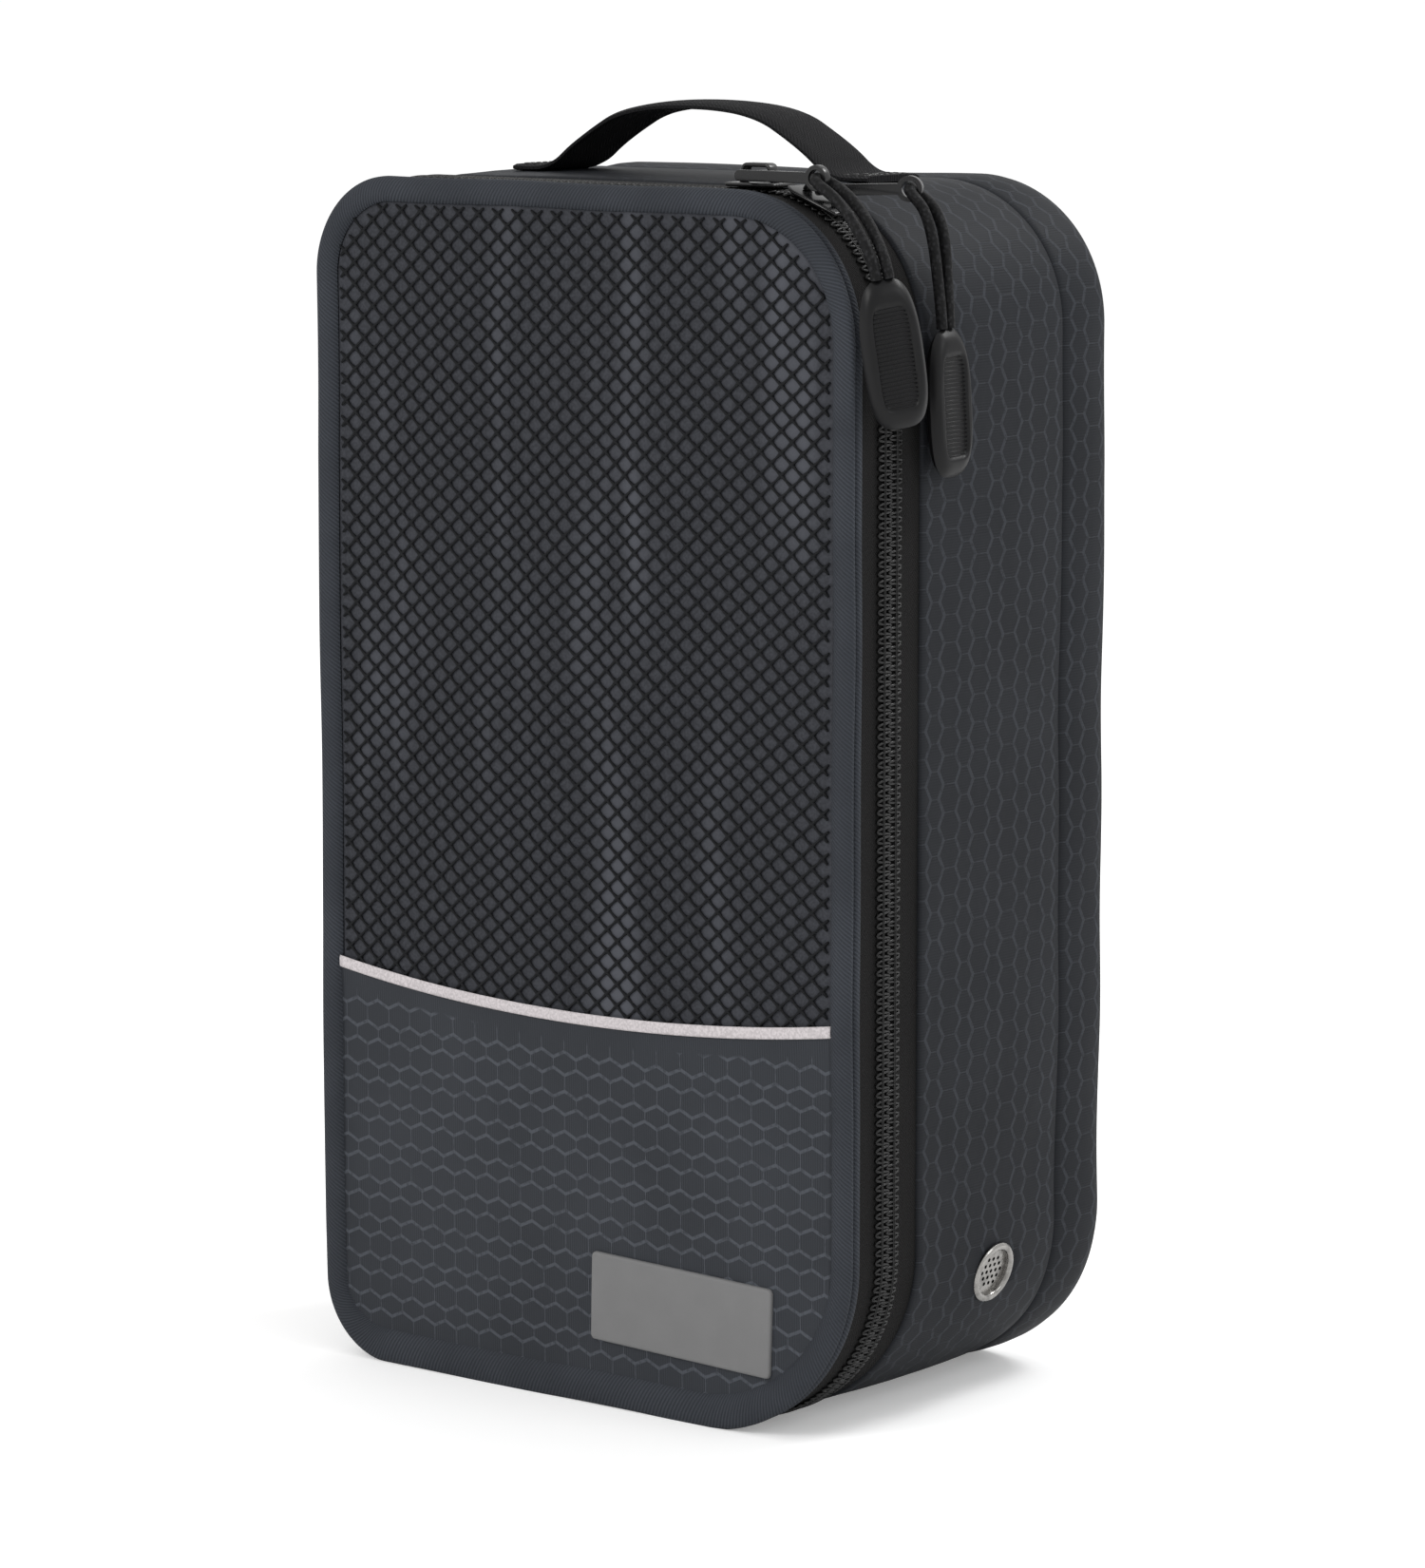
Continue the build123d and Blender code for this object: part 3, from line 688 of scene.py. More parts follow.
def panel(name, depth, thickness, low, high, inset, columns=90, rows=110, rear=False):
    """A sheet across the lid or back between two curves; depth gives its Y at each place."""
    side = BAG_WIDTH / 2 - inset
    points, weave = [], []
    for i in range(rows + 1):
        for j in range(columns + 1):
            # Places across lie a little closer together towards the rounded corners.
            rounded, even = -math.cos(math.pi * j / columns), 2 * j / columns - 1
            x = side * (0.35 * rounded + 0.65 * even)
            bottom, top = low(x), high(x)
            z = bottom + (top - bottom) * i / rows
            points.append((x, depth(x, z), z))
            weave.append((x, z))
    faces = grid_faces(rows + 1, columns + 1, flip=rear)
    piece = make_mesh(name, points, faces, weave)
    solid = piece.modifiers.new("thickness", "SOLIDIFY")
    solid.thickness = thickness
    solid.offset = -1.0
    return piece


# ---------------------------------------------------------------- pieces


# Cross-sections of the bands, each a closed loop of places front to back and insets below the outline, in
# millimetres. A negative inset is cloth that bulges past the outline.
GUSSET_LOOP = [
    (-30.0, 1.05), (-29.8, 0.45), (-29.2, 0.1), (-27.5, -0.05), (-22, -0.2), (-12, -0.55), (0, -0.75),
    (12, -0.75), (22, -0.55), (30, -0.25), (35, 0.05), (37.8, 0.4), (39.2, 0.75), (39.9, 1.35), (39.9, 2.0),
    (20, 1.9), (-10, 1.9), (-29.5, 1.9), (-30.0, 1.6),
]
REAR_LOOP = [
    (40.1, 1.35), (40.7, 0.75), (42.1, 0.4), (44.6, 0.0), (48, -0.35), (53, -0.4), (57.5, -0.15),
    (60.5, 0.45), (62.3, 1.6), (63.2, 3.2), (63.5, 5.2), (63.3, 7.0), (62.3, 7.2), (61.9, 4.6), (60.4, 2.5),
    (50, 2.0), (41, 2.1),
]
PIPING_LOOP = [
    (-60.9, 1.6), (-61.1, 0.7), (-61.6, 0.0), (-62.3, -0.4), (-63.1, -0.35), (-63.8, 0.2), (-64.3, 1.1),
    (-64.5, 2.2), (-64.5, 3.4), (-64.3, 4.6), (-63.8, 5.7), (-63.1, 6.6), (-62.3, 7.1), (-61.6, 6.6),
    (-61.2, 4.0), (-61.0, 2.4),
]
LID_BAND_LOOP = [
    (-57.5, 1.5), (-57.6, 0.8), (-58.1, 0.2), (-58.9, -0.15), (-59.8, -0.1), (-60.5, 0.4), (-60.8, 1.1),
    (-60.7, 1.9), (-57.7, 1.9),
]
TAPE_OUTER, TAPE_INNER = 1.15, 1.9
TAPE_FRONT, TAPE_REAR = -57.9, -30.1


def flat_loop(near, far, outer, inner, count=6, crown=0.0):
    """Cross-section of a flat tape between two depths, with an optional crown, in millimetres."""
    loop = []
    for i in range(count + 1):
        share = i / count
        loop.append((near + (far - near) * share, outer - crown * math.sin(math.pi * share)))
    return loop + [(y, inner) for y, _ in loop[::-1]]


VENT_HOLE_RADIUS = 7.6 * MM
VENT_CUT_DEPTH = 5 * MM
LEAST_NEW_POINTS = 40
BACK_INSET = 6.2 * MM


def pierce(piece, cutters):
    """Cuts the cutters out of a mesh, lays its cloth distances out anew and takes the cutters away."""
    old = piece.data
    count = len(old.vertices)
    weave = [0.0] * (3 * count)
    old.attributes["weave"].data.foreach_get("vector", weave)
    corners = [list(p.vertices) for p in old.polygons]
    places = [v.co.copy() for v in old.vertices]
    tree = BVHTree.FromPolygons(places, corners)
    for cutter in cutters:
        cut = piece.modifiers.new("hole", "BOOLEAN")
        cut.operation = "DIFFERENCE"
        cut.solver = "EXACT"
        cut.object = cutter
    bpy.context.view_layer.update()
    cloth = bpy.data.meshes.new_from_object(piece.evaluated_get(bpy.context.evaluated_depsgraph_get()))
    if len(cloth.vertices) < count + LEAST_NEW_POINTS:
        raise RuntimeError("the vents' holes could not be cut")
    values = []
    for vertex in cloth.vertices:
        spot, _, index, _ = tree.find_nearest(vertex.co)
        ring = corners[index]
        shares = poly_3d_calc([places[i] for i in ring], spot)
        values += [sum(w * weave[3 * i + axis] for w, i in zip(shares, ring)) for axis in range(3)]
    kept = cloth.attributes.get("weave") or cloth.attributes.new("weave", "FLOAT_VECTOR", "POINT")
    kept.data.foreach_set("vector", values)
    piece.modifiers.clear()
    piece.data = cloth
    for cutter in cutters:
        bpy.data.objects.remove(cutter)


def build_body_shell():
    """Main gusset, rear band, back panel and the bindings inside."""
    outline, finish = build_outline(), finishes()
    gusset = band("body_gusset", outline, GUSSET_LOOP, wobble=0.9)
    cutters = []
    for side in ("left", "right"):
        place, out = vent_axis(outline, f"vent_eyelet_{side}")
        line = [place + out * h for h in (-VENT_CUT_DEPTH, 0, VENT_CUT_DEPTH)]
        cutters.append(make_mesh("cutter", *tube(line, VENT_HOLE_RADIUS, 48)))
    pierce(gusset, cutters)
    dress(gusset, "bag", ["main_gusset"], finish["side"])
    rear = band("body_rear_band", outline, REAR_LOOP, wobble=0.9)
    dress(rear, "bag", ["rear_band"], finish["side"])

    def depth(x, z):
        bow = max(0.0, 1 - (x / (BAG_WIDTH / 2)) ** 4) * max(0.0, 1 - (z / BAG_HEIGHT * 2 - 1) ** 6)
        return BAG_REAR - 1.0 * MM + bow * (1.6 * MM + 0.8 * MM * ripple(x, 9.0, z, 0.06))

    def bottom(x):
        return outline.edge_height(x, BACK_INSET, False)

    def top(x):
        return outline.edge_height(x, BACK_INSET, True)

    back = panel("body_back_panel", depth, 1.2 * MM, bottom, top, BACK_INSET, columns=50, rows=80, rear=True)
    dress(back, "bag", ["back_panel"], finish["back"])
    for name, near, far in (
        ("mid_binding", 36.8, 43.6), ("back_binding", 54.4, 61.1), ("zip_binding", -30.1, -23.1),
    ):
        piece = band(f"{name}_tape", outline, flat_loop(near, far, 2.35, 3.7, crown=-0.3))
        dress(piece, "bag", [name], finish["binding"])


HINGE_GAP = 0.3 * MM
FILAMENT_RADIUS = 0.43 * MM
STITCH_RADIUS = 0.2 * MM
# One loop of the coil: reach from the middle of the chain, share of the pitch, inset below the outline. Reach
# and inset are in millimetres.
COIL_LOOP = (
    (5.15, 0.0, 0.85), (4.95, 0.16, 0.55), (3.4, 0.27, 0.47), (1.4, 0.31, 0.46), (0.1, 0.36, 0.5),
    (-0.55, 0.5, 0.55), (0.1, 0.64, 0.5), (1.4, 0.69, 0.46), (3.4, 0.73, 0.47), (4.95, 0.84, 0.55),
)


def coil_row(outline, start, end, pitch, way, shift):
    """One row of the chain: a continuous monofilament bent into loops that reach over the middle."""
    path, count = [], int((end - start) / pitch) - 1
    for i in range(count):
        for reach, share, inset in COIL_LOOP:
            place, out = outline.at(start + (i + share + shift) * pitch)
            spot = place - out * (inset * MM)
            path.append(Vector((spot.x, ZIP_Y + way * reach * MM, max(spot.y, 0.4 * MM))))
    parts = [tube(path, FILAMENT_RADIUS, 6)]
    for reach in (2.5, 3.1):
        line = []
        for s in outline.stations(start + pitch, end - pitch):
            place, out = outline.at(s)
            spot = place - out * (0.12 * MM)
            line.append(Vector((spot.x, ZIP_Y + way * reach * MM, max(spot.y, 1.1 * STITCH_RADIUS))))
        parts.append(tube(line, STITCH_RADIUS, 5))
    return gather(parts)


def build_zipper():
    """Both tapes, both coil rows, the end stops and the fabric hinge."""
    sizes = bpy.context.scene.shoe_bag_sizes
    outline, finish = build_outline(), finishes()
    start = BAG_HEIGHT / 2 - sizes.chain_end
    end = outline.length - start
    for name, node, body, near, far in (
        ("lid_zip_tape", "lid_tape", "lid", TAPE_FRONT, -45.75),
        ("body_zip_tape", "rear_tape", "bag", -43.25, TAPE_REAR),
    ):
        piece = band(name, outline, flat_loop(near, far, TAPE_OUTER, TAPE_INNER, crown=-0.12), start, end)
        dress(piece, body, [node], finish["tape"])
    for name, node, body, way, shift in (
        ("lid_zip_coil", "lid_coil", "lid", -1, 0.0), ("body_zip_coil", "rear_coil", "bag", 1, 0.5),
    ):
        points, faces = coil_row(outline, start, end, sizes.coil_pitch, way, shift)
        dress(make_mesh(name, points, faces, sharp=180), body, [node], finish["coil"])
    reach = start - HINGE_GAP
    section = flat_loop(TAPE_FRONT, TAPE_REAR, 1.1, TAPE_INNER, count=24)
    hinge = band("hinge_fabric", outline, section, -reach, reach)
    hinge.data.materials.append(finish["tape"])
    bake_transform(hinge)
    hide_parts("hinge_strip", "lid_hinge_strip")
    dress(rounded_copy("chain_stops", 0.3), "bag", ["chain_stops"], finish["tape"])


def build_lid_edge():
    """Rolled edge, side band and binding of the lid."""
    outline, finish = build_outline(), finishes()
    roll = band("lid_rolled_edge", outline, PIPING_LOOP, wobble=0.7, low_scale=1.45)
    dress(roll, "lid", ["front_piping"], finish["edge"])
    side = band("lid_side_band", outline, LID_BAND_LOOP, wobble=0.4)
    dress(side, "lid", ["lid_band"], finish["edge"])
    inside = band("lid_binding_tape", outline, flat_loop(-60.5, -57.5, 2.35, 3.6, count=4))
    dress(inside, "lid", ["lid_binding"], finish["binding"])


def net_strands(outline, sizes, lift):
    """The net: two families of slanting yarns, thicker where they cross."""
    step_x, step_z = sizes.net_width / 4, sizes.net_height / 4
    side = BAG_WIDTH / 2 - PANEL_INSET
    parts = []
    rows = int(BAG_HEIGHT / step_z) + 2
    reach = int((2 * side + BAG_HEIGHT * step_x / step_z) / sizes.net_width) + 2
    for way in (1, -1):
        for k in range(-reach, reach + 1):
            run, radii = [], []
            for i in range(rows):
                x = way * (k * sizes.net_width + i * step_x)
                z = i * step_z
                inside = (
                    abs(x) < side
                    and trim_height(x) < z
                    and z < outline.edge_height(x, PANEL_INSET, True)
                )
                if inside:
                    crossing = i % 2 == 0
                    sway = 0.0 if crossing else 0.16 * MM * way
                    y = BAG_FRONT + 1.0 * MM - front_depth(x, z) - lift + (0.0 if crossing else -0.12 * MM)
                    run.append(Vector((x + sway, y, z)))
                    radii.append(0.60 * MM if crossing else 0.34 * MM)
                elif run:
                    if len(run) > 2:
                        parts.append(tube(run, radii, 5))
                    run, radii = [], []
            if len(run) > 2:
                parts.append(tube(run, radii, 5))
    return gather(parts)


def build_lid_front():
    """Net, lining, lower panel, trim tape and the plain patch."""
    sizes = bpy.context.scene.shoe_bag_sizes
    outline, finish = build_outline(), finishes()
    seam = BAG_FRONT + 1.0 * MM

    def lining_depth(x, z):
        return seam + 0.55 * MM - front_depth(x, z)

    def cloth_depth(x, z):
        hem = math.exp(-(((z - trim_height(x)) / (7 * MM)) ** 2))
        return seam - front_depth(x, z) - 0.45 * MM * hem

    def top(x):
        return outline.edge_height(x, PANEL_INSET, True)

    def bottom(x):
        return outline.edge_height(x, PANEL_INSET, False)

    def near_trim(rise):
        return lambda x: trim_height(x) + rise

    lining = panel("lid_lining", lining_depth, 0.5 * MM, near_trim(-2 * MM), top, PANEL_INSET)
    dress(lining, "lid", ["mesh_lining"], finish["lining"])
    points, faces = net_strands(outline, sizes, -0.15 * MM)
    dress(make_mesh("lid_net", points, faces, sharp=180), "lid", ["mesh_panel"], finish["net"])
    hem = near_trim(-0.6 * MM)
    lower = panel("lid_lower_panel", cloth_depth, 0.8 * MM, bottom, hem, PANEL_INSET, rows=70)
    dress(lower, "lid", ["lower_front_panel"], finish["lid"])

    def trim_depth(x, z):
        edge = (z - trim_height(x)) / (TRIM_WIDTH / 2)
        return cloth_depth(x, z) - 0.55 * MM - 0.25 * MM * max(0.0, 1 - edge**4)

    under, over = near_trim(-TRIM_WIDTH / 2), near_trim(TRIM_WIDTH / 2)
    trim = panel("lid_trim_tape", trim_depth, 0.5 * MM, under, over, PANEL_INSET, columns=120, rows=8)
    dress(trim, "lid", ["trim_tape"], finish["trim"])
    build_patch(cloth_depth, finish)


def build_patch(cloth_depth, finish):
    """The plain rubber patch, its rim rounded, lying on the lower panel."""
    centre_x, centre_z, turn = 38.5 * MM, 31.75 * MM, math.radians(-2)
    half_wide, half_tall = 33 * MM, 13.25 * MM
    rim, thick, corner = 0.9 * MM, 1.3 * MM, 1.6 * MM
    columns, rows = 96, 48
    points = []
    for i in range(rows + 1):
        for j in range(columns + 1):
            a = half_wide * math.sin(math.pi * (j / columns - 0.5))
            b = half_tall * math.sin(math.pi * (i / rows - 0.5))
            inner_a, inner_b = half_wide - corner, half_tall - corner
            over_a, over_b = max(0.0, abs(a) - inner_a), max(0.0, abs(b) - inner_b)
            over = math.hypot(over_a, over_b)
            if over > corner:
                over_a, over_b = over_a * corner / over, over_b * corner / over
                a = math.copysign(inner_a + over_a, a) if over_a else a
                b = math.copysign(inner_b + over_b, b) if over_b else b
            margin = corner - min(over, corner) if over > 0 else corner
            gap = min(half_wide - abs(a), half_tall - abs(b), margin if over > 0 else corner)
            share = min(1.0, max(0.0, gap / rim))
            rise = thick * (0.35 + 0.65 * math.sqrt(1 - (1 - share) ** 2))
            x = centre_x + a * math.cos(turn) - b * math.sin(turn)
            z = centre_z + a * math.sin(turn) + b * math.cos(turn)
            points.append((x, cloth_depth(x, z) - rise, z))
    count = len(points)
    points += [(x, cloth_depth(x, z) - 0.05 * MM, z) for x, _, z in points[:count]]
    width = columns + 1
    faces = grid_faces(rows + 1, width) + grid_faces(rows + 1, width, offset=count, flip=True)
    ring = list(range(width)) + [i * width + columns for i in range(1, rows + 1)]
    ring += [rows * width + j for j in range(columns - 1, -1, -1)]
    ring += [i * width for i in range(rows - 1, 0, -1)]
    for a, b in zip(ring, ring[1:] + ring[:1]):
        faces.append((b, a, a + count, b + count))
    patch = make_mesh("lid_plain_patch", points, faces, sharp=60)
    dress(patch, "lid", ["label_patch"], finish["patch"])


# Half of the handle's route, from a foot to the middle: distance from the middle and height above the bag.
HANDLE_HALF = ((66.0, 1.3), (52.0, 1.3), (42.0, 10.0), (22.0, 21.0))
STITCH_LENGTH = 3.0


def foot_stitches():
    """Crossed box stitching on both of the handle's feet."""
    near, far, half = 55, 64, 10
    corners = [Vector(corner) for corner in ((near, -half), (far, -half), (near, half), (far, half))]
    seams = ((0, 1), (2, 3), (0, 2), (1, 3), (0, 3), (2, 1))
    stitches = []
    for way in (-1, 1):
        for first, last in seams:
            a, b = corners[first], corners[last]
            number = max(2, round((b - a).length / STITCH_LENGTH))
            for n in range(number):
                p, q = a.lerp(b, (n + 0.12) / number), a.lerp(b, (n + 0.88) / number)
                line = []
                for share, rise in ((0, 2.05), (0.2, 2.35), (0.8, 2.35), (1, 2.05)):
                    spot = p.lerp(q, share) * MM
                    line.append(Vector((way * spot.x, spot.y, BAG_HEIGHT + rise * MM)))
                stitches.append(tube(line, 0.28 * MM, 5))
    return stitches


def build_handle():
    """The webbing loop, one strap from foot to foot, and the patch inside under its feet."""
    sizes = bpy.context.scene.shoe_bag_sizes
    finish = finishes()
    route = [(-x, z) for x, z in HANDLE_HALF] + list(HANDLE_HALF[::-1])
    route = [Vector((x * MM, BAG_HEIGHT + z * MM)) for x, z in route]
    for _ in range(4):
        cut = [route[0]]
        for a, b in zip(route, route[1:]):
            cut += [a.lerp(b, 0.25), a.lerp(b, 0.75)]
        route = cut + [route[-1]]
    half, thick, count = sizes.webbing_width / 2, 0.95 * MM, 14
    points, weave, run = [], [], 0.0
    for i, here in enumerate(route):
        along = (route[min(i + 1, len(route) - 1)] - route[max(i - 1, 0)]).normalized()
        out = Vector((-along.y, along.x))
        if i:
            run += (here - route[i - 1]).length
        lifted = max(0.0, min(1.0, (here.y - BAG_HEIGHT) / (15 * MM)))
        for face in (1, -1):
            for k in range(count + 1):
                share = (2 * k / count - 1) * face
                cup = 0.9 * MM * lifted * (1 - share * share)
                edge = 1.0 if abs(share) < 0.99 else 0.45
                spot = here + out * (face * thick * edge + cup - 0.45 * MM * lifted)
                sway = 0.5 * MM * lifted * ripple(here.x, 2.0, here.y, 0.03)
                points.append((spot.x, share * half + sway, spot.y))
                weave.append((run, share * half + half))
    columns = 2 * (count + 1)
    faces = grid_faces(len(route), columns, wrap=True, flip=True)
    faces.append(tuple(range(columns)))
    faces.append(tuple(range(len(points) - 1, len(points) - columns - 1, -1)))
    strap = make_mesh("handle_webbing", points, faces, weave)
    strap.data.materials.append(finish["webbing"])
    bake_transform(strap)
    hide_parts("handle_strap", "handle_left_end", "handle_right_end")
    thread = make_mesh("handle_stitches", *gather(foot_stitches()), sharp=180)
    dress(thread, "bag", [], finish["coil"])
    dress(rounded_copy("handle_patch", 0.4), "bag", ["handle_patch"], finish["binding"])


def vent_axis(outline, node):
    """Middle and outward direction of a vent, on the side it is set in."""
    low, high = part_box(node)
    middle = (low + high) / 2
    way = 1 if middle.x > 0 else -1
    centre, radius = outline.corners[(way, -1)]
    level = 40.0 * MM
    if level < radius:
        fall = math.asin((radius - level) / radius)
        out = Vector((way * math.cos(fall), 0, -math.sin(fall)))
        place = Vector((centre.x + out.x * radius, middle.y, centre.y + out.z * radius))
    else:
        out = Vector((way, 0, 0))
        place = Vector((way * BAG_WIDTH / 2, middle.y, level))
    return place, out


VENT_LOOP = [
    (6.95, -4.7), (7.5, -4.7), (7.5, 0.3), (8.7, 0.35), (9.15, 0.65), (9.2, 1.0), (8.9, 1.45), (8.3, 1.75),
    (7.7, 1.75), (7.2, 1.45), (6.95, 0.9), (6.85, 0.2),
]


def build_vents():
    """The eyelets, their pierced discs and the washers inside."""
    outline, finish = build_outline(), finishes()
    for side in ("left", "right"):
        place, out = vent_axis(outline, f"vent_eyelet_{side}")
        ring = lathe(f"vent_ring_{side}", place, out, VENT_LOOP)
        dress(ring, "bag", [f"vent_eyelet_{side}"], finish["nickel"])
        for node in (f"vent_grille_{side}", f"vent_washer_{side}"):
            dress(rounded_copy(node, 0), "bag", [node], finish["nickel"])


def build_sliders():
    """Slider bodies and bails, with rounded edges."""
    finish = finishes()
    for name in ("slider_a", "slider_b"):
        dress(rounded_copy(f"{name}_body", 0.5), name, [f"{name}_body"], finish["metal"])
        dress(rounded_copy(f"{name}_bail", 0.45), name, [f"{name}_bail"], finish["metal"])


CORD_A = (
    (104.5, -59.5, 332.7), (104.0, -60.4, 339.1), (92.0, -58.7, 353.5), (80.0, -57.7, 359.8),
    (80.0, -50.7, 359.8), (92.0, -51.7, 353.5), (106.1, -57.5, 339.7), (106.5, -56.5, 333.3),
)
CORD_B = (
    (103.5, -27.3, 317.4), (103.3, -27.6, 323.9), (101.0, -29.7, 349.0), (94.4, -31.7, 356.3),
    (91.7, -25.3, 356.3), (101.0, -23.3, 349.0), (103.3, -24.0, 324.1), (103.5, -23.7, 317.6),
)


def build_cord(name, route, body, node, material, diameter):
    """A folded cord along its route."""
    curve = bpy.data.curves.new(name, "CURVE")
    curve.dimensions = "3D"
    spline = curve.splines.new("NURBS")
    spline.points.add(len(route) - 1)
    for point, (x, y, z) in zip(spline.points, route):
        point.co = (x * MM, y * MM, z * MM, 1)
    spline.order_u = 3
    spline.use_endpoint_u = True
    spline.resolution_u = 12
    cord = bpy.data.objects.new(name, curve)
    bpy.context.scene.collection.objects.link(cord)
    bpy.context.view_layer.update()
    line = bpy.data.meshes.new_from_object(cord)
    bpy.data.meshes.remove(line)
    curve.bevel_depth = diameter / 2
    curve.bevel_resolution = 5
    curve.use_fill_caps = True
    dress(cord, body, [node], material)


RECESS_DEPTH = 0.95 * MM
RIB_RADIUS = 0.3 * MM
RIB_PITCH = 1.2 * MM


def build_grip(name, top, turn, lean, body, node, material, sizes):
    """A moulded grip: a rounded pad with a ribbed recess on both broad faces."""
    up = Vector(lean).normalized()
    across = up.cross(Vector((math.cos(turn), -math.sin(turn), 0))).normalized()
    out = across.cross(up)
    middle = Vector(top) * MM - up * (sizes.grip_length / 2)
    half_w, half_l, half_t = sizes.grip_width / 2, sizes.grip_length / 2, sizes.grip_thickness / 2
    rings, around = 46, 120

    def rim(angle):
        """Half width and half length of the pad's outline in one direction."""
        power = 3.4
        c, s = abs(math.cos(angle)), abs(math.sin(angle))
        r = (c**power + s**power) ** (-1 / power)
        a, b = half_w * r * math.cos(angle), half_l * r * math.sin(angle)
        if b > 0:
            a *= 1 - 0.16 * (b / half_l) ** 2
        return a, b

    def face(a, b, share):
        """Height of the broad face over the pad's middle plane."""
        body_height = half_t * (1 - max(0.0, (share - 0.72) / 0.28) ** 2.6 * 0.98)
        in_a, in_b = abs(a) / (half_w * 0.62), abs(b + 1.0 * MM) / (half_l * 0.72)
        inside = max(0.0, min(1.0, (1 - (in_a**6 + in_b**6) ** (1 / 6)) / 0.09))
        return body_height - inside * inside * (3 - 2 * inside) * RECESS_DEPTH

    points = []
    for way in (1, -1):
        for i in range(rings + 1):
            share = math.sin(math.pi / 2 * i / rings) if i > rings // 2 else i / rings * 1.4142
            share = min(1.0, share)
            for k in range(around):
                a, b = rim(2 * math.pi * k / around)
                a, b = a * share, b * share
                points.append(middle + across * a + up * b + out * (way * face(a, b, share)))
    ring = (rings + 1) * around
    faces = grid_faces(rings + 1, around, wrap=True, flip=True)
    faces += grid_faces(rings + 1, around, wrap=True, offset=ring)
    last = rings * around
    for k in range(around):
        n = (k + 1) % around
        faces.append((last + n, last + k, ring + last + k, ring + last + n))
    bars = [(points, faces)]
    level = half_t - RECESS_DEPTH
    for way in (1, -1):
        b = -half_l * 0.66 - 1.0 * MM
        while b < half_l * 0.66 - 1.0 * MM:
            reach = half_w * 0.6 * (1 - (abs(b + 1.0 * MM) / (half_l * 0.72)) ** 6) ** (1 / 6)
            floor = middle + up * b + out * (way * level)
            line = [floor + across * (reach * share) for share in (-1, -0.97, 0, 0.97, 1)]
            bars.append(tube(line, [RIB_RADIUS * share for share in (0.5, 1, 1, 1, 0.5)], 8))
            b += RIB_PITCH
    grip = make_mesh(name, *gather(bars), sharp=70)
    weld = grip.modifiers.new("weld", "WELD")
    weld.merge_threshold = 0.004 * MM
    return dress(grip, body, [node], material)


def build_pulls():
    """Pullers, cords and grips of both sliders."""
    sizes = bpy.context.scene.shoe_bag_sizes
    finish = finishes()
    for letter, route, top, turn, lean in (
        ("a", CORD_A, (105.5, -58.0, 333.0), 35.0, (-3.0, -6.0, 42.0)),
        ("b", CORD_B, (103.5, -25.5, 317.5), 0.0, (-1.0, -2.0, 42.0)),
    ):
        body = f"pull_{letter}"
        puller = rounded_copy(f"{body}_puller", 0.55)
        dress(puller, body, [f"{body}_puller"], finish["metal"])
        turned = math.radians(turn)
        grip = build_grip(
            f"{body}_moulded_grip", top, turned, lean, body, f"{body}_grip", finish["rubber"], sizes
        )
        build_cord(f"{body}_braid", route, body, f"{body}_cord", finish["cord"], sizes.cord_diameter)


